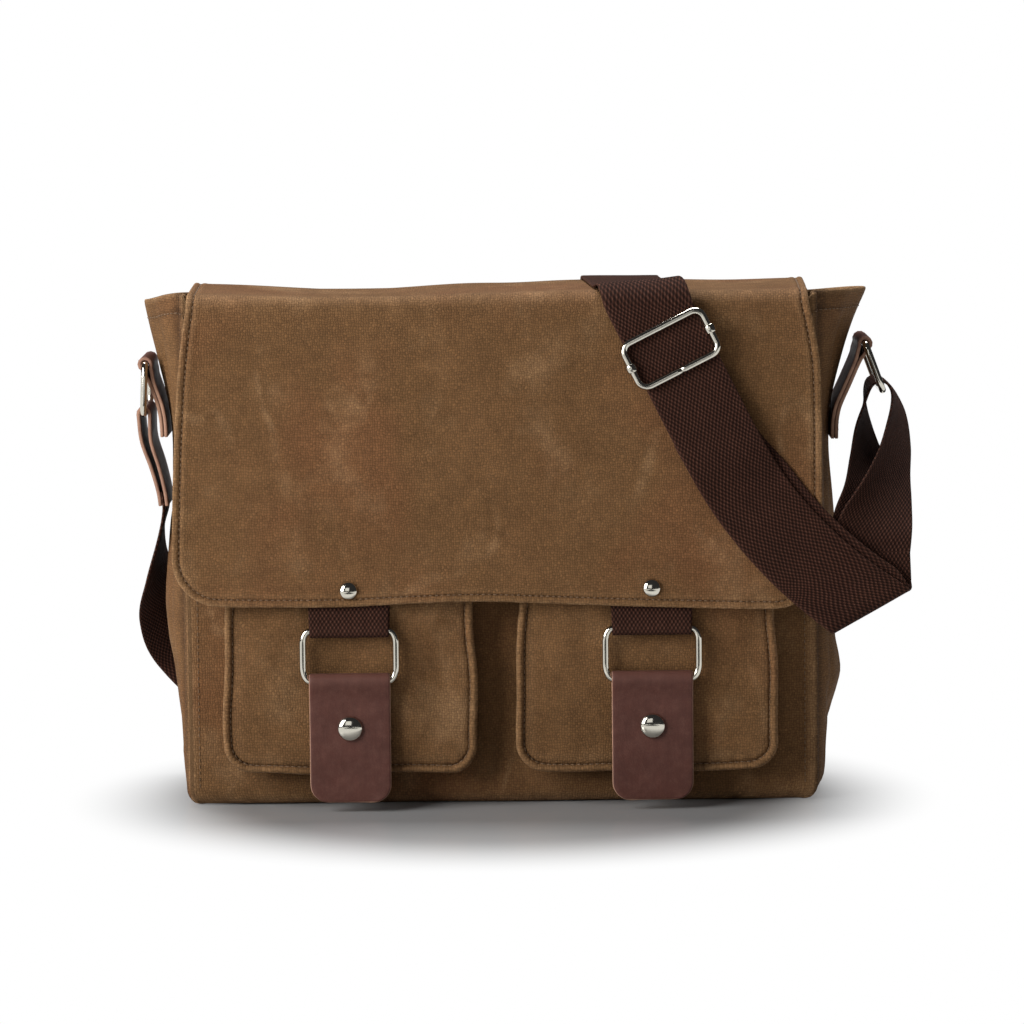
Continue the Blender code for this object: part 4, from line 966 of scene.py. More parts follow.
def body_pieces():
    cols = shell_loop()
    zz = np.r_[np.linspace(-1, 0, 7)[:-1], np.linspace(0, 1, 84)]
    zz = np.r_[zz[:-1], 0.9965, 1.0]
    P = shell_points(cols, zz, 0.0)
    run = np.r_[0, np.cumsum(np.linalg.norm(np.diff(P[40, :, :2], axis=0), axis=1))]
    Z = P[..., 2]
    R = np.broadcast_to(run, Z.shape)
    near = np.min([np.hypot(np.abs(P[..., 0]) - 157.8, np.abs(P[..., 1]) - 47.0)], axis=0)
    top = Z[-1][None, :] - Z
    wear = 0.55 * bump(near - 2.5, 1.6) + 0.8 * bump(top, 1.4) + 0.5 * bump(Z - 2.5, 3.0)
    kind = cols[:, 3]
    mid = bump(P[..., 1], 12) * np.isin(kind, (2, 4))[None, :]
    wear = wear + 0.12 * mid
    # darker along the corner seams and the hem line; the corner band is partly painted shade in the corner groove
    seam_and_painted_shade = 0.8 * bump(near - 0.8, 0.9) + 0.5 * bump(top - 9.5, 0.8)
    # painted shade: each side gusset is darkened towards its front and back edges, in the valley beside the
    # corners
    side = np.isin(cols[:, 3], (2, 4))[None, :]
    seam_and_painted_shade = seam_and_painted_shade + np.where(side, 0.95 * smooth((np.abs(cols[:, 1])[None, :] - 38.5) / 4.5), 0.0)
    uv = np.stack([R, Z], -1)
    shell = sheet("bag_shell", P, uv, 1.9, CANVAS, wrap=True,
                  attrs={"wear": wear, "seam_and_painted_shade": seam_and_painted_shade})
    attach(shell, "bag")
    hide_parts("front_panel", "back_panel", "gusset_left", "gusset_right")
    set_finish(shell, "waxed_canvas")

    # base
    xs = lines(2 * 151.6, 4.0) - 151.6
    ys = lines(2 * 42.6, 4.0) - 42.6
    Y, X = np.meshgrid(ys, xs, indexing="ij")
    e = np.minimum(151.6 - np.abs(X), 42.6 - np.abs(Y))
    P = np.stack([X, Y, 1.9 + 0.35 * folds(X, Y, 60, 50) * smooth(e / 20)], -1)
    base = sheet("bag_base", P, np.stack([X, Y], -1), 1.6, CANVAS,
                 attrs={"wear": 0.3 * bump(e, 4), "seam_and_painted_shade": 0.4 * bump(e - 6, 4)})
    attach(base, "bag")
    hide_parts("base_panel")
    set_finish(base, "waxed_canvas")

    # lining: walls and floor
    zz = np.r_[np.linspace(-1, 0, 5)[:-1], np.linspace(0, 0.965, 46)]
    zz = np.r_[zz[:-1], 0.962, 0.965]
    P = shell_points(cols, zz, 2.6)
    P[..., 2] = np.maximum(P[..., 2], 4.9) + 0.4
    Z = P[..., 2]
    lin = folds(R[0][None, :] + 0 * Z, Z, 38, 71, along_b=1.5) * 0.5
    P[..., 1] = P[..., 1] * (1 - 0.004 * (1 + lin))
    walls = sheet_arrays(P, np.stack([np.broadcast_to(run, Z.shape), Z], -1), 0.9, wrap=True,
                         attrs={"wear": 0.6 * bump(Z - Z[-1][None, :], 2.0), "seam_and_painted_shade": 0 * Z})
    xs = lines(2 * 153.0, 5.0) - 153.0
    ys = lines(2 * 45.0, 5.0) - 45.0
    Y, X = np.meshgrid(ys, xs, indexing="ij")
    P = np.stack([X, Y, 5.5 + 0.4 * folds(X, Y, 50, 52)], -1)
    # painted shade: the lining floor is darker at its two ends, in the inside corners
    floor = sheet_arrays(P, np.stack([X, Y], -1), 0.9,
                         attrs={"wear": 0 * X, "seam_and_painted_shade": 0.5 * bump(np.abs(X) - 150, 5)})
    lining = joined("bag_lining", [walls, floor], COTTON)
    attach(lining, "bag")
    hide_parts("lining")
    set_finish(lining, "lining_cotton")

    # stitching: the hem of the mouth, and one row down each front corner
    cols2 = cols
    z1 = (PANEL_H - 9.5 - 5.9) / (PANEL_H - 5.9)
    rows = []
    hemline = shell_points(cols2, [z1], -0.95)[0]
    loop = np.concatenate([hemline, hemline[:1]])
    nrm = np.concatenate([hemline - shell_points(cols2, [z1], 0.0)[0]] * 2)[:len(loop)]
    rows.append(stitches(loop, nrm, 3.2, 2.4, 0.32, 0.0))
    zs = np.linspace(0.0, 0.97, 120)
    for sx in (-1, 1):
        for sy in (-1, 1):
            i = int(np.argmin(np.hypot(cols[:, 0] - sx * 152.4, cols[:, 1] - sy * 49.0)))
            line_out = shell_points(cols2, zs, 0.0)[:, i] + np.array([0, sy * 0.95, 0])
            n = np.tile([0.0, sy * 1.0, 0.0], (len(line_out), 1))
            rows.append(stitches(line_out, n, 3.2, 2.4, 0.32, 0.0))
    seam = joined("bag_topstitch", rows, THREAD)
    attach(seam, "bag")
    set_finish(seam, "waxed_canvas")


# ------------------------------------------------------------------ pockets
def pocket_sides(z, x0, x1):
    """The pocket's two sides: narrower at the mouth, full low down, a bit uneven."""
    pull = 2.0 * smooth((z - 62) / 70) - 0.9 * bump(z - 50, 22)
    a = x0 + pull + 0.45 * np.sin(z / 9.0 + x0)
    b = x1 - pull + 0.45 * np.sin(z / 8.0 + x1)
    return a, b


def pocket_low(x, low, x0, x1):
    return low + 0.55 * np.sin(x / 11.0 + x0) - 0.6 * bump(x - (x0 + x1) / 2, 30)


def pocket_edge(z, x0, x1, r, low):
    d = np.clip((low + r - z) / r, 0, 1)
    cut = r - r * np.sqrt(np.maximum(1 - d * d, 0))
    a, b = pocket_sides(z, x0, x1)
    return a + cut, b - cut


def pocket_pieces(side, x0, x1, cx):
    r = POCKET_CORNER = 14.0
    low = POCKET_BOTTOM
    seed = 3 if side == "left" else 9
    zs = hem_lines(POCKET_TOP - low, 1.7, last=False) + low
    extra = low + r - r * np.cos(np.linspace(0, PI / 2, 10)[1:-1])
    zs = np.unique(np.round(np.r_[zs, extra], 3))
    zs = zs[np.r_[True, np.diff(zs) > 0.3]]
    vv = hem_lines(x1 - x0, 1.8) / (x1 - x0)
    Z, V = np.meshgrid(zs, vv, indexing="ij")
    a, b = pocket_edge(Z, x0, x1, r, low)
    X = a + (b - a) * V
    # distance to the sides and the bottom, the top being open
    sa, sb = pocket_sides(Z, x0, x1)
    dx = np.minimum(X - sa, sb - X)
    dz = Z - low
    corner = (dx < r) & (dz < r)
    dist = np.where(corner, r - np.hypot(r - dx, r - dz), np.minimum(dx, dz))
    dist = np.maximum(dist, 0)
    run = np.where(dz < dx, X, Z)
    pucker = np.sin(run * 2 * PI / 7.3 + 1.8 * np.sin(run / 15 + seed)) * \
        (0.55 + 0.45 * np.sin(run / 21 + seed))
    welt = 1.75 * np.sqrt(np.clip(1 - ((dist - 1.6) / 1.9) ** 2, 0, 1))
    out = -0.9 + welt - 1.25 * bump(dist - 3.7, 0.75)
    out = out + 0.34 * pucker * bump(dist - 4.6, 3.4)
    puff = 1 - np.exp(-np.maximum(dist - 3.8, 0) / 10.0)
    slack = folds(X, Z, 50, seed + 60) * 1.15 + 0.4 * folds(X, Z, 22, seed + 61)
    fall = -1.1 * bump(X - x1 + 18 - 0.25 * (Z - 60), 7) * smooth((Z - 40) / 30)
    fall = fall - 0.9 * bump(X - x0 - 15 + 0.2 * (Z - 60), 6) * smooth((Z - 60) / 30)
    out = out + puff * (1.7 + slack + fall)
    top = POCKET_TOP - Z
    out = out + 0.35 * bump(top - 5, 4)
    # the flat spot under the closure
    flat = bump((X - cx) / 1.0, 22) * smooth((75 - Z) / 12)
    out = out * (1 - 0.55 * flat)
    out = 2.5 - np.log1p(np.exp((2.5 - out) * 3.0)) / 3.0
    Y = POCKET_Y + POCKET_T / 2 - out
    # roll the very edge back over the side strip
    roll = np.clip(1 - dist / 1.6, 0, 1)
    Y = Y + 1.5 * roll ** 2
    Zs = Z + (pocket_low(X, 0.0, x0, x1)) * (1 - smooth((Z - low) / 16))
    P = np.stack([X, Y, Zs], -1)
    wear = 0.3 * bump(dist - 1.4, 1.1) * (0.75 + 0.25 * pucker) + 0.9 * bump(top, 1.5) \
        + 0.15 * bump(dist - 7, 2)
    # darker along the stitch groove (a seam line with painted shade in it), and painted shade just inside the welt
    seam_and_painted_shade = 0.35 * bump(dist - 3.7, 0.8) + 0.18 * bump(dist - 5.6, 1.6)
    uv = np.stack([X + 300, Z + 40], -1)
    face = sheet("pocket_face_" + side, P, uv, POCKET_T, CANVAS,
                 attrs={"wear": wear, "seam_and_painted_shade": seam_and_painted_shade, "dist": dist})
    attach(face, "bag")
    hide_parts("pocket_front_" + side)
    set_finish(face, "waxed_canvas")

    # the strip round the sides and bottom
    inset = 1.2
    rr = r - inset
    pts = [(x0 + inset, z) for z in np.arange(POCKET_TOP, low + r, -2.5)]
    pts += [(x0 + r + rr * math.cos(t), low + r + rr * math.sin(t))
            for t in np.linspace(PI, 1.5 * PI, 10)]
    pts += [(x, low + inset) for x in np.arange(x0 + r + 2.5, x1 - r, 2.5)]
    pts += [(x1 - r + rr * math.cos(t), low + r + rr * math.sin(t))
            for t in np.linspace(1.5 * PI, 2 * PI, 10)]
    pts += [(x1 - inset, z) for z in np.arange(low + r + 2.5, POCKET_TOP, 2.5)]
    pts.append((x1 - inset, POCKET_TOP))
    pts = np.array(pts, float)
    sa, sb = pocket_sides(pts[:, 1], x0, x1)
    share = np.clip((pts[:, 0] - x0) / (x1 - x0), 0, 1)
    pts[:, 0] += (sa - x0) * (1 - share) + (sb - x1) * share
    pts[:, 1] += pocket_low(pts[:, 0], 0.0, x0, x1) * (1 - smooth((pts[:, 1] - low) / 16))
    tangent = unit(np.gradient(pts, axis=0))
    outward = np.stack([tangent[:, 1], -tangent[:, 0]], -1)
    centre = np.array([(x0 + x1) / 2, 80.0])
    if np.sum((pts[0] - centre) * outward[0]) < 0:
        outward = -outward
    d = np.r_[0, np.cumsum(np.linalg.norm(np.diff(pts, axis=0), axis=1))]
    depth = lines(15.4, 1.6)
    D, U = np.meshgrid(d, depth, indexing="ij")
    belly = np.sin(PI * U / 15.4)
    wav = folds(D, U, 30, seed + 5, along_b=0.9) * 0.5 + 0.3 * np.sin(D * 2 * PI / 11.0 + 2 * np.sin(D / 19))
    off = (0.7 + wav) * belly
    X = pts[:, 0][:, None] + outward[:, 0][:, None] * off
    Z = pts[:, 1][:, None] + outward[:, 1][:, None] * off
    Y = -HALF_D - 0.1 - 15.2 + U + 0.0 * D
    P = np.stack([X, Y, Z], -1)
    # painted shade: the side strip darkens towards the body, deep in the recess behind the pocket face
    strip = sheet("pocket_side_" + side, P, np.stack([D, U + 80], -1), 1.1, CANVAS,
                  attrs={"wear": 0.2 * bump(U, 2), "seam_and_painted_shade": 0.25 + 0.7 * smooth((U - 3) / 9)})
    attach(strip, "bag")
    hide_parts("pocket_gusset_" + side)
    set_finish(strip, "waxed_canvas")

    # topstitching inside the welt
    i = 3.7
    rr = r - i
    path = [(x0 + i, z) for z in np.arange(POCKET_TOP - 3, low + r, -2.0)]
    path += [(x0 + r + rr * math.cos(t), low + r + rr * math.sin(t))
             for t in np.linspace(PI, 1.5 * PI, 9)]
    path += [(x, low + i) for x in np.arange(x0 + r + 2, x1 - r, 2.0)]
    path += [(x1 - r + rr * math.cos(t), low + r + rr * math.sin(t))
             for t in np.linspace(1.5 * PI, 2 * PI, 9)]
    path += [(x1 - i, z) for z in np.arange(low + r + 2, POCKET_TOP - 3, 2.0)]
    path = np.array(path, float)
    sa, sb = pocket_sides(path[:, 1], x0, x1)
    share = np.clip((path[:, 0] - x0) / (x1 - x0), 0, 1)
    path[:, 0] += (sa - x0) * (1 - share) + (sb - x1) * share
    path[:, 1] += pocket_low(path[:, 0], 0.0, x0, x1) * (1 - smooth((path[:, 1] - low) / 16))
    y = POCKET_Y + 0.75 + 0 * path[:, 0]
    line3 = np.stack([path[:, 0], y, path[:, 1]], -1)
    rows = [stitches(line3, np.tile([0.0, -1.0, 0.0], (len(line3), 1)), 3.0, 2.3, 0.33, 0.0)]
    xs = np.arange(x0 + 8, x1 - 8, 2.0)
    hemline = np.stack([xs, POCKET_Y - 1.1 + 0 * xs, POCKET_TOP - 9 + 0 * xs], -1)
    rows.append(stitches(hemline, np.tile([0.0, -1.0, 0.0], (len(xs), 1)), 3.0, 2.3, 0.33, 0.0))
    seam = joined("pocket_stitch_" + side, rows, THREAD)
    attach(seam, "bag")
    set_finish(seam, "waxed_canvas")


# ------------------------------------------------------------- flat straps
def ribbon(name, knots, half, thick, mat, step=1.8, cols_step=2.2, shape=None, bend=None,
           uv0=0.0, crown=0.0, extra=None):
    """A flat strip along a (y, z) path in a plane of constant x, or any path whose
    knots carry (length, cx, y, z)."""
    k = np.array(knots, float)
    L = k[-1, 0]
    ll = lines(L, step)
    vv = lines(2 * half, cols_step) / half - 1
    LL, VV = np.meshgrid(ll, vv, indexing="ij")
    P0 = curve(k, LL)
    width = np.ones_like(LL) if shape is None else shape(LL)
    X = P0[..., 0] + VV * half * width
    P = np.stack([X, P0[..., 1], P0[..., 2]], -1)
    if extra is not None:
        P = P + extra(LL, VV)
    uv = np.stack([VV * half * width, LL + uv0], -1)
    wear = np.zeros_like(LL) if bend is None else bend(LL)
    return sheet(name, P, uv, thick, mat, attrs={"wear": wear, "seam_and_painted_shade": 0 * LL})


def bar_tack(path, normal, count_rows, pitch, across, length=2.2, radius=0.3):
    return [stitches(path + across * k, normal, pitch, length, radius, 0.0)
            for k in range(count_rows)]


def closure(side, cx):
    w_front = -(OUTER_T + GAP + LINING_T / 2) - LINING_T / 2 - GAP - WEB_T / 2
    w_back = w_front - WEB_T - GAP
    ry, rz = RING_TOP
    loop_r = WIRE_R + GAP + WEB_T / 2

    # webbing from under the flap, round the ring and back
    def flap_yz(s, w):
        p = on_flap(cx, s, w)
        return (p[1], p[2])
    path = [flap_yz(s, w_front) for s in (240.0, 246.0, 252.0, 258.0, 264.0)]
    path += [(ry + loop_r * math.cos(math.radians(a)), rz + loop_r * math.sin(math.radians(a)))
             for a in range(172, 369, 14)]
    path += [flap_yz(s, w_back) for s in (264.0, 258.0, 252.0, 246.0)]
    knots = along([(cx, y, z) for y, z in path])
    web = ribbon("closure_strap_" + side, knots, WEB_HALF, WEB_T, WEB,
                 bend=lambda L: 0.3 * bump(L - 36, 4),
                 extra=lambda L, V: np.stack([0.25 * np.sin(L / 7.0) * np.sign(V) * np.abs(V) ** 3,
                                              0 * L, 0 * L], -1))
    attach(web, "flap")
    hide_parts("closure_web_" + side)
    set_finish(web, "webbing")

    # rivet: domed head on the flap
    centre = on_flap(cx, RIVET_S, 0.0)
    dome = [(4.5 * math.sin(t), 0.45 + 2.15 * math.cos(t)) for t in np.linspace(0, PI / 2, 14)]
    wb = w_back - WEB_T / 2
    prof = dome + [(4.6, 0.25), (4.45, 0.05), (2.0, -0.3), (0.0, -0.3)]
    rivet = sharp(lathe("rivet_head_" + side, prof, centre, FLAP_N, NICKEL))
    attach(rivet, "flap")
    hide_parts("flap_rivet_" + side)
    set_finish(rivet, "nickel")
    pin = tube("rivet_pin_" + side, [on_flap(cx, RIVET_S, w) for w in (-0.7, wb * 0.5, wb - 0.6)],
               1.45, NICKEL, sides=14)
    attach(pin, "flap")
    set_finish(pin, "nickel")

    # ring: corners softer than they are wide
    hw, hh = RING_W / 2, RING_H / 2
    pts = []
    for sx, sz, t0 in ((1, 1, 0), (-1, 1, 90), (-1, -1, 180), (1, -1, 270)):
        rx, rzz = (3.5, 6.2) if sz > 0 else (3.9, 7.4)
        for t in np.linspace(0, 90, 11):
            t = math.radians(t0 + t)
            pts.append((cx + sx * (hw - rx) + rx * math.cos(t), ry,
                        rz - hh + sz * (hh - rzz) + rzz * math.sin(t)))
    ring = tube("closure_wire_" + side, pts, WIRE_R, NICKEL, closed=True, sides=20)
    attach(ring, "closure_ring_%s_body" % side)
    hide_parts("closure_ring_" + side)
    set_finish(ring, "nickel")

    # leather tab
    ly, lz = ry, rz - RING_H
    loop_r = WIRE_R + GAP + LEATHER_T / 2
    y_back = POCKET_Y - 3.4 - LEATHER_T / 2
    y_front = y_back - LEATHER_T - GAP
    path = [(y_back, SNAP_Z - 9.5), (y_back, 40.0), (y_back, 48.0), (y_back, 57.0)]
    path += [(ly + loop_r * math.cos(math.radians(a)), lz + loop_r * math.sin(math.radians(a)))
             for a in range(-8, 189, 14)]
    path += [(y_front, 57.0), (y_front, 48.0), (y_front, 40.0), (y_front, 28.0),
             (y_front, 16.0), (y_front - 0.25, TAB_END + 3), (y_front - 0.5, TAB_END)]
    knots = along([(cx, y, z) for y, z in path])
    L = knots[-1, 0]
    r = 9.0

    def shape(LL):
        d = np.clip((LL - (L - r)) / r, 0, 1)
        half = LEATHER_HALF - r + r * np.sqrt(np.maximum(1 - d * d, 0))
        d2 = np.clip((2.5 - LL) / 2.5, 0, 1)
        half = half - 2.5 + 2.5 * np.sqrt(np.maximum(1 - d2 * d2, 0))
        return half / LEATHER_HALF

    def lift(LL, VV):
        tip = smooth((LL - (L - 30)) / 30)
        near_cap = bump(LL - (L - (SNAP_Z - TAB_END)), 10) * bump(VV, 0.55)
        dy = -0.55 * tip * (VV * (1 if side == "left" else -1)) - 0.35 * tip * VV ** 2
        dy = dy + 0.25 * near_cap
        far = LL > L * 0.55
        return np.stack([0 * LL, np.where(far, dy, 0.0), 0 * LL], -1)
    turn = float(knots[4 + 7, 0])
    tab = ribbon("closure_leather_" + side, knots, LEATHER_HALF, LEATHER_T, LEATHER,
                 step=1.4, cols_step=1.8, shape=shape,
                 bend=lambda LL: bump(LL - turn, 4.5), extra=lift)
    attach(tab, "closure_tab_%s_body" % side)
    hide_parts("closure_tab_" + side)
    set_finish(tab, "leather")

    # snap cap
    snap = (cx, y_front - LEATHER_T / 2, SNAP_Z)
    shaft = -(2 * LEATHER_T + GAP + 0.1)
    cap = [(6.1 * math.sin(t), 0.75 + 2.2 * math.cos(t)) for t in np.linspace(0, PI / 2, 16)]
    prof = cap + [(6.25, 0.5), (6.2, 0.2), (5.9, 0.02), (1.35, 0.02), (1.3, shaft), (0.0, shaft)]
    piece = sharp(lathe("snap_dome_" + side, prof, snap, (0, -1, 0), NICKEL, 56))
    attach(piece, "closure_tab_%s_body" % side)
    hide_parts("snap_cap_" + side)
    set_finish(piece, "nickel")


# -------------------------------------------------- side rings and their tabs
CAD_BULGE = ((0, 158), (6, 158.6), (25, 161), (50, 164.5), (75, 168.5),
             (100, 170.5), (120, 170.5), (150, 168), (180, 166.5),
             (200, 168), (222, 173.5), (240, 179), (256, 184))


def side_set(side, sx):
    tx, tz = SIDE_TOP[side]
    lx, lz = SIDE_LOW[side]
    n = math.dist((tx, tz), (lx, lz))
    ux, uz = (tx - lx) / n, (tz - lz) / n
    mx, mz = (tx + lx) / 2, (tz + lz) / 2
    pts = []
    hw, hh = RING_W / 2, n / 2
    for sa, sb, t0 in ((1, 1, 0), (-1, 1, 90), (-1, -1, 180), (1, -1, 270)):
        rx, rzz = 3.5, 6.0
        for t in np.linspace(0, 90, 11):
            t = math.radians(t0 + t)
            a = sa * (hw - rx) + rx * math.cos(t)
            b = sb * (hh - rzz) + rzz * math.sin(t)
            pts.append((sx * (mx + b * ux), a, mz + b * uz))
    ring = tube("side_wire_" + side, pts, WIRE_R, NICKEL, closed=True, sides=20)
    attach(ring, "side_ring_%s_body" % side)
    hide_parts("side_ring_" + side)
    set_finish(ring, "nickel")

    foot = SIDE_FOOT[side]
    thick = 1.8
    loop_r = WIRE_R + GAP + thick / 2
    lift = thick / 2 + 1.0
    gap = thick + 0.15

    def g(z):
        return float(curve(CAD_BULGE, np.array(float(z))))
    low_x, low_z = g(foot + 14) + lift + gap / 2, foot + 14
    n = math.dist((tx, tz), (low_x, low_z))
    dx, dz = (tx - low_x) / n, (tz - low_z) / n
    half = gap / 2
    path = [(g(z) + lift, z) for z in (foot, foot + 5, foot + 10)]
    path += [(tx - dx * q - dz * h, tz - dz * q + dx * h)
             for q, h in ((n - 3, half), ((n + 8) / 2, half), (8.5, half + 0.1), (5.4, half + 0.75))]
    path += [(tx + loop_r * (-dx * math.cos(f) - dz * math.sin(f)),
              tz + loop_r * (-dz * math.cos(f) + dx * math.sin(f)))
             for f in np.radians(np.arange(48, 313, 12))]
    path += [(tx - dx * q + dz * h, tz - dz * q - dx * h)
             for q, h in ((5.4, half + 0.75), (8.5, half + 0.1), ((n + 8) / 2, half), (n - 3, half))]
    path += [(g(z) + lift + gap, z - 0.5) for z in (foot + 10, foot + 5, foot + 0.5)]
    knots = along([(sx * x, 0, z) for x, z in path])
    L = knots[-1, 0]
    ll = lines(L, 1.6)
    vv = lines(2 * LEATHER_HALF, 2.0) / LEATHER_HALF - 1
    LL, VV = np.meshgrid(ll, vv, indexing="ij")
    P0 = curve(knots, LL)
    P = np.stack([P0[..., 0], VV * LEATHER_HALF, P0[..., 2]], -1)
    tab = sheet("side_leather_" + side, P, np.stack([VV * LEATHER_HALF, LL], -1), thick,
                LEATHER, attrs={"wear": bump(LL - L / 2, 9)}, edge=(0.74, 1.0))
    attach(tab, "bag")
    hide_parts("side_tab_" + side)
    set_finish(tab, "leather")
    # a box of stitching on its foot
    zc = foot + 8.0
    rows = []
    ys = np.linspace(-16, 16, 22)
    for z in (foot + 2.5, foot + 9.5):
        x = g(z) + lift + gap + thick / 2
        line3 = np.stack([np.full(22, sx * x), ys, np.full(22, z)], -1)
        rows.append(stitches(line3, np.tile([sx * 1.0, 0, 0], (22, 1)), 3.0, 2.3, 0.34, 0.02))
    zs = np.linspace(foot + 2.5, foot + 9.5, 8)
    for y in (-16.0, 16.0):
        x = np.array([g(z) + lift + gap + thick / 2 for z in zs])
        line3 = np.stack([sx * x, np.full(8, y), zs], -1)
        rows.append(stitches(line3, np.tile([sx * 1.0, 0, 0], (8, 1)), 3.0, 2.3, 0.34, 0.02))
    row = joined("side_stitch_" + side, rows, THREAD_DARK)
    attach(row, "bag")
    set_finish(row, "leather")
    del zc


# -------------------------------------------------------------------- strap
STRAP_KNOTS = ((-200.0, 3.0), (-48.0, 3.5), (-28.0, 26.5), (52.0, 26.5),
               (162.0, 56.0), (400.0, 56.0))
FOLD_A, FOLD_B = (164.5, 272.8), (200.7, 252.8)
HEADING_L = np.array([k[0] for k in STRAP_KNOTS])
HEADING_A = np.radians([k[1] for k in STRAP_KNOTS])


def centre_line():
    table = np.zeros((261, 2))
    table[130] = (SLIDER_X, SLIDER_S)
    for sign in (1, -1):
        x, s = SLIDER_X, SLIDER_S
        for k in range(1, 131):
            a = float(np.interp(sign * (2 * k - 1), HEADING_L, HEADING_A))
            x += sign * 2 * math.sin(a)
            s += sign * 2 * math.cos(a)
            table[130 + sign * k] = (x, s)
    return table


CENTRE = centre_line()
CENTRE_L = np.arange(-130, 131) * 2.0
L_HINGE = float(np.interp(-5.0, CENTRE[:, 1], CENTRE_L))


def strap_flat(l, t):
    a = np.interp(l, HEADING_L, HEADING_A)
    return (np.interp(l, CENTRE_L, CENTRE[:, 0]) + t * np.cos(a),
            np.interp(l, CENTRE_L, CENTRE[:, 1]) - t * np.sin(a))


FOLD_LEN = math.dist(FOLD_A, FOLD_B)
FOLD_U = ((FOLD_B[0] - FOLD_A[0]) / FOLD_LEN, (FOLD_B[1] - FOLD_A[1]) / FOLD_LEN)
FOLD_V = (-FOLD_U[1], FOLD_U[0])
FOLD_R = 2.2
W_FOLD = W_LOW - FOLD_R


def fold(x, s, w):
    q = (x - FOLD_A[0]) * FOLD_V[0] + (s - FOLD_A[1]) * FOLD_V[1]
    r = w - W_FOLD
    arc = PI * (FOLD_R + 0.8)
    a = np.clip(q / arc, 0, 1) * PI
    b = r * np.sin(a) - np.maximum(q - arc, 0)
    on = q > 0
    return (np.where(on, x + (b - q) * FOLD_V[0], x), np.where(on, s + (b - q) * FOLD_V[1], s),
            np.where(on, W_FOLD + r * np.cos(a), w))


def strap_shear(l, t):
    before = 1 - smooth((151.0 - l) / 30)
    after = 1 - smooth((l - 167.0) / 19)
    return l + 0.511 * before * after * t


def main_w(l):
    w = np.where(l < 0, W_LOW + (W_HIGH - W_LOW) * smooth((l + 55) / 36),
                 W_HIGH + (W_OVER - W_HIGH) * smooth((l - 56) / 30))
    # it stands off the thick seam at the hinge
    return w + 1.1 * (1 - smooth((np.interp(l, CENTRE_L, CENTRE[:, 1]) + 1) / 16))


def strap_sheet(name, l0, l1, height, bodies, replaces=None, extra_uv=0.0, half=STRAP_HALF,
                shift=None, ends=(True, True)):
    ll = l0 + lines(l1 - l0, 1.5)
    tt = lines(2 * half, 2.0) - half
    L, T = np.meshgrid(ll, tt, indexing="ij")
    across = T if shift is None else T + shift(L)
    x, s = strap_flat(strap_shear(L, across), across)
    w = height(L)
    edge = np.abs(T) / half
    w = w + 0.10 * folds(L, T, 26, 81) * smooth((1 - edge) / 0.3)
    P = on_flap(*fold(x, s, w))
    uv = np.stack([T, L + extra_uv], -1)
    wear = 0.5 * bump(np.abs(T) - half, 0.9)
    obj = sheet(name, P, uv, STRAP_T, WEB, attrs={"wear": wear, "seam_and_painted_shade": 0 * L}, ends=ends)
    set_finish(obj, "webbing")
    if replaces:
        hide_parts(replaces)
    place(obj, bodies)
    return obj


def place(obj, bodies):
    if isinstance(bodies, str):
        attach(obj, bodies)
    else:
        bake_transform(obj)


HINGE_BLEND = ("bag", "flap", (0, 0.0530, 0.2505), (0, 0.0505, 0.2560))


def station_sheet(name, knots, l0, l1, side_of, half, thick, mat, bodies, step=1.8, uv0=0.0,
                  wave=0.0, seed=1, ends=(True, True), edge=(0.35, 0.86)):
    """A strip along stations (length, x, y, z, ...); side_of gives the direction
    across it from the rest of the station."""
    ll = l0 + lines(l1 - l0, step)
    tt = lines(2 * half, 2.0) - half
    st = curve(knots, ll)
    side = unit(side_of(st))
    P = st[:, None, :3] + side[:, None, :] * tt[None, :, None]
    L, T = np.meshgrid(ll, tt, indexing="ij")
    if wave:
        tangent = unit(np.gradient(st[:, :3], axis=0))
        nrm = np.cross(tangent, side)
        P = P + nrm[:, None, :] * (wave * folds(L, T, 60, seed))[..., None]
    uv = np.stack([T, L + uv0], -1)
    wear = 0.5 * bump(np.abs(T) - half, 0.9)
    obj = sheet(name, P, uv, thick, mat, attrs={"wear": wear, "seam_and_painted_shade": 0 * L}, ends=ends,
                edge=edge)
    place(obj, bodies)
    return obj


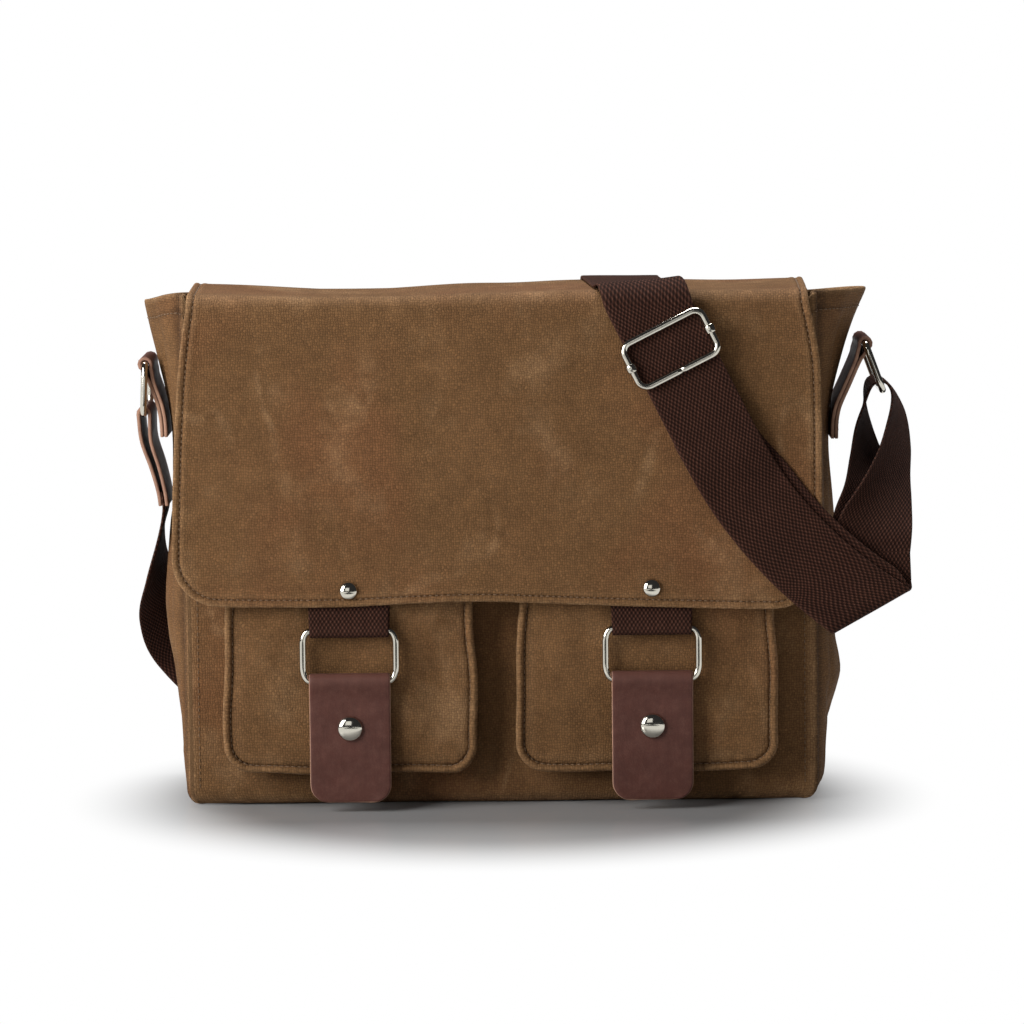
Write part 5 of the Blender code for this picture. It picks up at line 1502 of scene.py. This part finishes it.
def strap_pieces():
    # left: the leather end folded over the ring
    lx, lz = SIDE_LOW["left"]
    loop_r = WIRE_R + GAP + 0.9
    path = [(-171.9, 149.0), (-172.9, 156.0), (-176.2, 168.0), (-180.9, 182.0)]
    path += [(-lx + loop_r * math.cos(math.radians(a)), lz + loop_r * math.sin(math.radians(a)))
             for a in range(190, -11, -12)]
    path += [(-176.2, 182.0), (-172.2, 168.0), (-169.5, 156.0), (-168.6, 149.0)]
    knots = along([(x, 0.0, z) for x, z in path])
    obj = station_sheet("strap_leather_end", knots, 0, knots[-1, 0],
                        lambda st: np.tile([0.0, 1.0, 0.0], (len(st), 1)), LEATHER_HALF,
                        1.8, LEATHER, "side_ring_left_body", step=1.6, edge=(0.74, 1.0))
    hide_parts("strap_end_leather")
    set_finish(obj, "leather")
    rows = []
    ys = np.linspace(-16, 16, 22)
    for z, x in ((152.0, -172.25), (163.0, -174.7)):
        line3 = np.stack([np.full(22, x - 0.9), ys, np.full(22, z)], -1)
        rows.append(stitches(line3, np.tile([-1.0, 0, 0], (22, 1)), 3.0, 2.3, 0.34, 0.02))
    row = joined("strap_end_stitch", rows, THREAD_DARK)
    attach(row, "side_ring_left_body")
    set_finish(row, "leather")

    # the run down the left side, under and up behind the bag
    xe, se = strap_flat(np.array(L_HINGE), np.array(0.0))
    ae = float(np.interp(L_HINGE, HEADING_L, HEADING_A))
    end = (float(xe), HINGE_Y + W_LOW + 1.1, HINGE_Z + float(se), -math.cos(ae), 0.0, math.sin(ae))
    stations = [
        (-171.2, 0, 156.0, 0, 1, 0), (-170.4, 0, 147.0, 0, 1, 0), (-173.6, 5, 133, 0, 1, 0.05),
        (-176.4, 22, 112, 0.25, 1, 0.2), (-173.6, 46, 90, 0.75, 0.65, 0.4),
        (-163.0, 62, 66, 0.9, 0.15, 0.48), (-140.0, 63, 45, 0.72, 0.0, 0.7),
        (-105.0, 60, 31, 0.3, 0.0, 0.95), (-65.0, 57, 33, -0.1, 0.0, 1),
        (-25.0, 55, 55, -0.5, 0, 0.85), (8.0, 54, 95, -0.75, 0, 0.62),
        (36.0, 53.6, 143, -0.92, 0, 0.4), (55.0, 53.2, 195, -0.98, 0, 0.15),
        (end[0] - 0.6, 52.9, 232, -0.995, 0, 0.09), end]
    run = along(stations)

    def across(st):
        return st[:, 3:6]
    split1, split2 = float(run[5, 0]), float(run[12, 0])
    a = station_sheet("strap_left_run", run, 0.0, split1, across, STRAP_HALF, STRAP_T, WEB,
                      ("side_ring_left_body", "bag", (-0.171, 0, 0.150), (-0.171, 0, 0.072)),
                      wave=0.25, seed=4, ends=(True, False))
    b = station_sheet("strap_back_run_web", run, split1, run[-1, 0], across, STRAP_HALF, STRAP_T,
                      WEB, "bag", uv0=0.0, wave=0.25, seed=4, ends=(False, False))
    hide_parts("strap_back_run")
    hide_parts("strap_back_run")
    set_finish(a, "webbing")
    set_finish(b, "webbing")
    del split2

    # over the top: crosses the hinge; then lies on the flap
    strap_sheet("strap_over_hinge", L_HINGE, -88.0, main_w, HINGE_BLEND, ends=(False, False))
    strap_sheet("strap_front_run", -88.0, 196.9, main_w, "flap", "strap_front_main",
                ends=(False, True))
    strap_sheet("strap_front_under", 43.0, 196.9, lambda L: W_LOW + 0 * L, "flap",
                "strap_front_return", extra_uv=7.0,
                shift=lambda L: 4.6 * smooth((L - 46) / 40) * (1 - smooth((L - 150) / 20)))

    # the loop round the right ring: two legs and the bend
    loop = along([
        (183.6, -68.0, 127.0, 0), (185.0, -65.9, 136, 7), (188, -58, 148, 26),
        (192.8, -46, 160, 46), (198.8, -28, 175, 61), (201.6, -10, 190, 73),
        (200.6, -1, 200.5, 84), (197.2, 0, 206.6, 90), (192.6, 0, 208.9, 90),
        (188.4, 0, 206.4, 90), (186.0, -1, 198, 86), (184.4, -10, 187, 76),
        (184.6, -27.0, 173, 63), (185.8, -43.5, 160, 45), (184.3, -55.6, 148, 26),
        (183.9, -64.2, 136, 8), (183.6, -66.5, 127.0, 0)])

    def turned_side(st):
        a = np.radians(st[:, 3])
        return np.stack([np.cos(a), np.sin(a), 0 * a], -1)
    n1, n2 = float(loop[4, 0]) + 2.0, float(loop[12, 0]) - 2.0
    last = float(loop[-1, 0])
    flap_bag = ("flap", "bag", (0.19, 0, 0.127), (0.19, 0, 0.177))
    leg_a = station_sheet("strap_loop_outer_leg", loop, 0.0, n1, turned_side, STRAP_HALF, STRAP_T,
                          WEB, flap_bag, ends=(True, False))
    top = station_sheet("strap_loop_top", loop, n1, n2, turned_side, STRAP_HALF, STRAP_T, WEB,
                        ("bag", "side_ring_right_body", (0.19, 0, 0.178), (0.19, 0, 0.202)),
                        ends=(False, False))
    leg_b = station_sheet("strap_loop_inner_leg", loop, n2, last, turned_side, STRAP_HALF, STRAP_T,
                          WEB, flap_bag, ends=(False, True))
    for o in (leg_a, top, leg_b):
        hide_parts("strap_loop_right")
        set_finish(o, "webbing")

    # slider
    T = Vector((math.sin(SLIDER_DIR), -math.cos(SLIDER_DIR) * math.sin(FRONT_TILT),
                -math.cos(SLIDER_DIR) * math.cos(FRONT_TILT)))
    N = Vector(FLAP_N)
    B = T.cross(N) * -1.0
    O = Vector(on_flap(SLIDER_X, SLIDER_S, 0.0))

    def sp(a, b, w):
        return np.array(O + B * float(a) + T * float(b) + N * float(w))
    hw, hh, rc = SLIDER_W / 2, SLIDER_H / 2, 5.0
    flat = []
    for xx in np.linspace(0, hw - rc, 9)[:-1]:       # starts at the butt joint, lower side
        flat.append((xx, hh))
    for t in np.linspace(PI / 2, 0, 10):
        flat.append((hw - rc + rc * math.cos(t), hh - rc + rc * math.sin(t)))
    for t in np.linspace(0, -PI / 2, 10):
        flat.append((hw - rc + rc * math.cos(t), -hh + rc + rc * math.sin(t)))
    for t in np.linspace(-PI / 2, -PI, 10):
        flat.append((-hw + rc + rc * math.cos(t), -hh + rc + rc * math.sin(t)))
    for t in np.linspace(PI, PI / 2, 10):
        flat.append((-hw + rc + rc * math.cos(t), hh - rc + rc * math.sin(t)))
    for xx in np.linspace(-(hw - rc), -0.14, 9)[1:]:
        flat.append((xx, hh))
    pts = [sp(a, b, W_FRAME) for a, b in [(0.14, hh)] + flat[1:]]
    wire = tube("slider_wire", pts, 1.78, NICKEL, closed=False, sides=20)
    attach(wire, "slider")
    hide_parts("slider_frame")
    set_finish(wire, "nickel")
    plug = tube("slider_joint", [sp(-1.2, hh, W_FRAME), sp(0, hh, W_FRAME), sp(1.2, hh, W_FRAME)],
                1.4, NICKEL, sides=16)
    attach(plug, "slider")
    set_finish(plug, "nickel")

    # bar with its eyelets
    rod = tube("slider_rod", [sp(a, 0, W_BAR) for a in np.linspace(-hw - 0.5, hw + 0.5, 12)],
               BAR_R, NICKEL, sides=16)
    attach(rod, "slider_bar_body")
    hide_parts("slider_bar")
    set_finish(rod, "nickel")
    for k, sx in (("a", -1), ("b", 1)):
        ring_p = []
        for t in np.linspace(0, 2 * PI, 25)[:-1]:
            ring_p.append((1.9 + 1.0 * (0.5 - 0.5 * math.cos(t)) + 0.0,
                           2.1 * math.sin(t) * (1.0 if abs(math.sin(t)) < 1 else 1.0)))
        eye = lathe("slider_eye_" + k, ring_p, sp(sx * hw, 0, W_FRAME), tuple(T), NICKEL, 40)
        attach(eye, "slider_bar_body")
        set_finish(eye, "nickel")
        post = tube("slider_post_" + k, [sp(sx * hw, 0, W_BAR - 0.6), sp(sx * hw, 0, W_BAR + 2.0),
                                         sp(sx * hw, 0, W_FRAME - 2.0)], 1.2, NICKEL, sides=14)
        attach(post, "slider_bar_body")
        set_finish(post, "nickel")

    # the strap's end round the bar
    lr = BAR_R + 0.2 + STRAP_T / 2
    pl = [(20.0, W_LOW), (14.0, W_LOW), (8.0, W_LOW)]
    pl += [(lr * math.cos(math.radians(a)), W_BAR + lr * math.sin(math.radians(a)))
           for a in range(-90, -280, -15)]
    pl += [(5.0, W_OVER + 1.6), (9.0, W_OVER), (14.0, W_OVER), (20.0, W_OVER)]
    k = along([(b, w, 0.0) for b, w in pl])
    ll = lines(k[-1, 0], 1.2)
    tt = lines(2 * (STRAP_HALF - 0.3), 2.0) - (STRAP_HALF - 0.3)
    st = curve(k, ll)
    P = np.array([[sp(t, b, w) for t in tt] for b, w, _ in st])
    L, TT = np.meshgrid(ll, tt, indexing="ij")
    end_loop = sheet("strap_end_web", P, np.stack([TT, L], -1), STRAP_T, WEB,
                     attrs={"wear": 0 * L, "seam_and_painted_shade": 0 * L})
    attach(end_loop, "slider_bar_body")
    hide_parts("strap_end_loop")
    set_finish(end_loop, "webbing")


flap_piece()
body_pieces()
pocket_pieces("left", *POCKET_X[0], CLOSURE_X[0])
pocket_pieces("right", *POCKET_X[1], CLOSURE_X[1])
closure("left", CLOSURE_X[0])
closure("right", CLOSURE_X[1])
side_set("left", -1)
side_set("right", 1)
strap_pieces()

# the small metal parts that keep their CAD shape
for node in ("snap_stud_left", "snap_stud_right", "snap_stud_washer_left",
             "snap_stud_washer_right", "flap_rivet_burr_left", "flap_rivet_burr_right",
             "snap_socket_left", "snap_socket_right"):
    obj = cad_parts[node]
    obj.data.materials.clear()
    obj.data.materials.append(NICKEL)
    obj["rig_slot"] = "nickel"
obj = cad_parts["base_board"]
obj.data.materials.clear()
obj.data.materials.append(BOARD)
obj["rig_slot"] = "board"

# ---------------------------------------------------------------- the stage
bm = bmesh.new()
bmesh.ops.create_circle(bm, cap_ends=True, cap_tris=False, segments=96, radius=60.0)
mesh = bpy.data.meshes.new("floor")
bm.to_mesh(mesh)
bm.free()
floor = bpy.data.objects.new("floor", mesh)
bpy.context.scene.collection.objects.link(floor)
k = Mat("studio_floor")
geo = k.node("ShaderNodeNewGeometry")
oval = k.node("ShaderNodeMapping")
k.put(oval.inputs["Vector"], geo.outputs["Position"])
oval.inputs["Scale"].default_value = (1.0 / 0.178, 1.0 / 0.175, 1.0)
oval.inputs["Location"].default_value = (0.0, 0.15, 0.0)
ln = k.node("ShaderNodeVectorMath", operation="LENGTH")
k.put(ln.inputs[0], oval.outputs[0])
dist = ln.outputs["Value"]
k.surface((0.35, 0.35, 0.35), 0.22, spec=0.22)
glow = k.node("ShaderNodeEmission")
# to the camera it is white; metal sees a darker lane in front, as before a real set
seen = k.node("ShaderNodeLightPath")
place_at = k.node("ShaderNodeSeparateXYZ")
k.put(place_at.inputs[0], geo.outputs["Position"])
lane = k.ramp(k.math("ABSOLUTE", place_at.outputs["X"]), 0.22, 0.5, 0.08, 1.0)
far = k.math("LESS_THAN", place_at.outputs["Y"], -0.5)
lane = k.math("SUBTRACT", 1.0, k.mul(far, k.math("SUBTRACT", 1.0, lane)))
gloss = seen.outputs["Is Glossy Ray"]
other = k.add(k.mul(gloss, lane), k.mul(k.math("SUBTRACT", 1.0, gloss), 0.8))
shot = seen.outputs["Is Camera Ray"]
k.put(glow.inputs["Strength"], k.add(shot, k.mul(k.math("SUBTRACT", 1.0, shot), other)))
glow.inputs["Color"].default_value = (1.0, 1.0, 1.0, 1.0)
mixer = k.node("ShaderNodeMixShader")
k.put(mixer.inputs[0], k.ramp(dist, 0.72, 1.26))
k.t.links.new(k.bsdf.outputs[0], mixer.inputs[1])
k.t.links.new(glow.outputs[0], mixer.inputs[2])
k.t.links.new(mixer.outputs[0], k.out.inputs[0])
floor.data.materials.append(k.m)


def area(name, at, target, size, power, colour=(1, 1, 1)):
    data = bpy.data.lights.new(name, "AREA")
    data.shape = "RECTANGLE"
    data.size, data.size_y = size
    data.energy = power
    data.color = colour
    obj = bpy.data.objects.new(name, data)
    obj.location = at
    obj.rotation_mode = "QUATERNION"
    obj.rotation_quaternion = (Vector(target) - Vector(at)).to_track_quat("-Z", "Y")
    bpy.context.scene.collection.objects.link(obj)
    return obj


area("key", (-1.16, -0.82, 0.66), (0, 0, 0.13), (0.95, 0.95), 31)
area("front", (-0.5, -2.7, 0.9), (0, 0, 0.12), (1.2, 1.0), 3.8)
area("top", (0.0, 0.85, 2.85), (0, 0, 0), (1.9, 0.9), 112)

scene = bpy.context.scene
world = bpy.data.worlds.new("studio")
scene.world = world
world.use_nodes = True
wt = world.node_tree
wt.nodes.clear()
out = wt.nodes.new("ShaderNodeOutputWorld")
mixw = wt.nodes.new("ShaderNodeMixShader")
path = wt.nodes.new("ShaderNodeLightPath")
dim = wt.nodes.new("ShaderNodeBackground")
dim.inputs["Color"].default_value = (0.30, 0.30, 0.31, 1.0)
dim.inputs["Strength"].default_value = 0.34
pale = wt.nodes.new("ShaderNodeBackground")
pale.inputs["Color"].default_value = (1.0, 1.0, 1.0, 1.0)
dark = wt.nodes.new("ShaderNodeBackground")
dark.inputs["Color"].default_value = (0.035, 0.035, 0.037, 1.0)
mixg = wt.nodes.new("ShaderNodeMixShader")
wt.links.new(path.outputs["Is Glossy Ray"], mixg.inputs[0])
wt.links.new(dim.outputs[0], mixg.inputs[1])
wt.links.new(dark.outputs[0], mixg.inputs[2])
wt.links.new(path.outputs["Is Camera Ray"], mixw.inputs[0])
wt.links.new(mixg.outputs[0], mixw.inputs[1])
wt.links.new(pale.outputs[0], mixw.inputs[2])
wt.links.new(mixw.outputs[0], out.inputs[0])
scene.view_settings.view_transform = "Standard"
scene.view_settings.look = "None"

cam_data = bpy.data.cameras.new("camera")
cam_data.sensor_width = 36.0
cam_data.lens = 169.72
cam = bpy.data.objects.new("camera", cam_data)
scene.collection.objects.link(cam)
cam.location = (0.006, -2.45, 0.405)
pitch, roll = math.radians(6.124), math.radians(-0.55)
cam.rotation_mode = "QUATERNION"
cam.rotation_quaternion = (Matrix.Rotation(PI / 2 - pitch, 3, "X") @ Matrix.Rotation(roll, 3, "Z")).to_quaternion()
scene.camera = cam
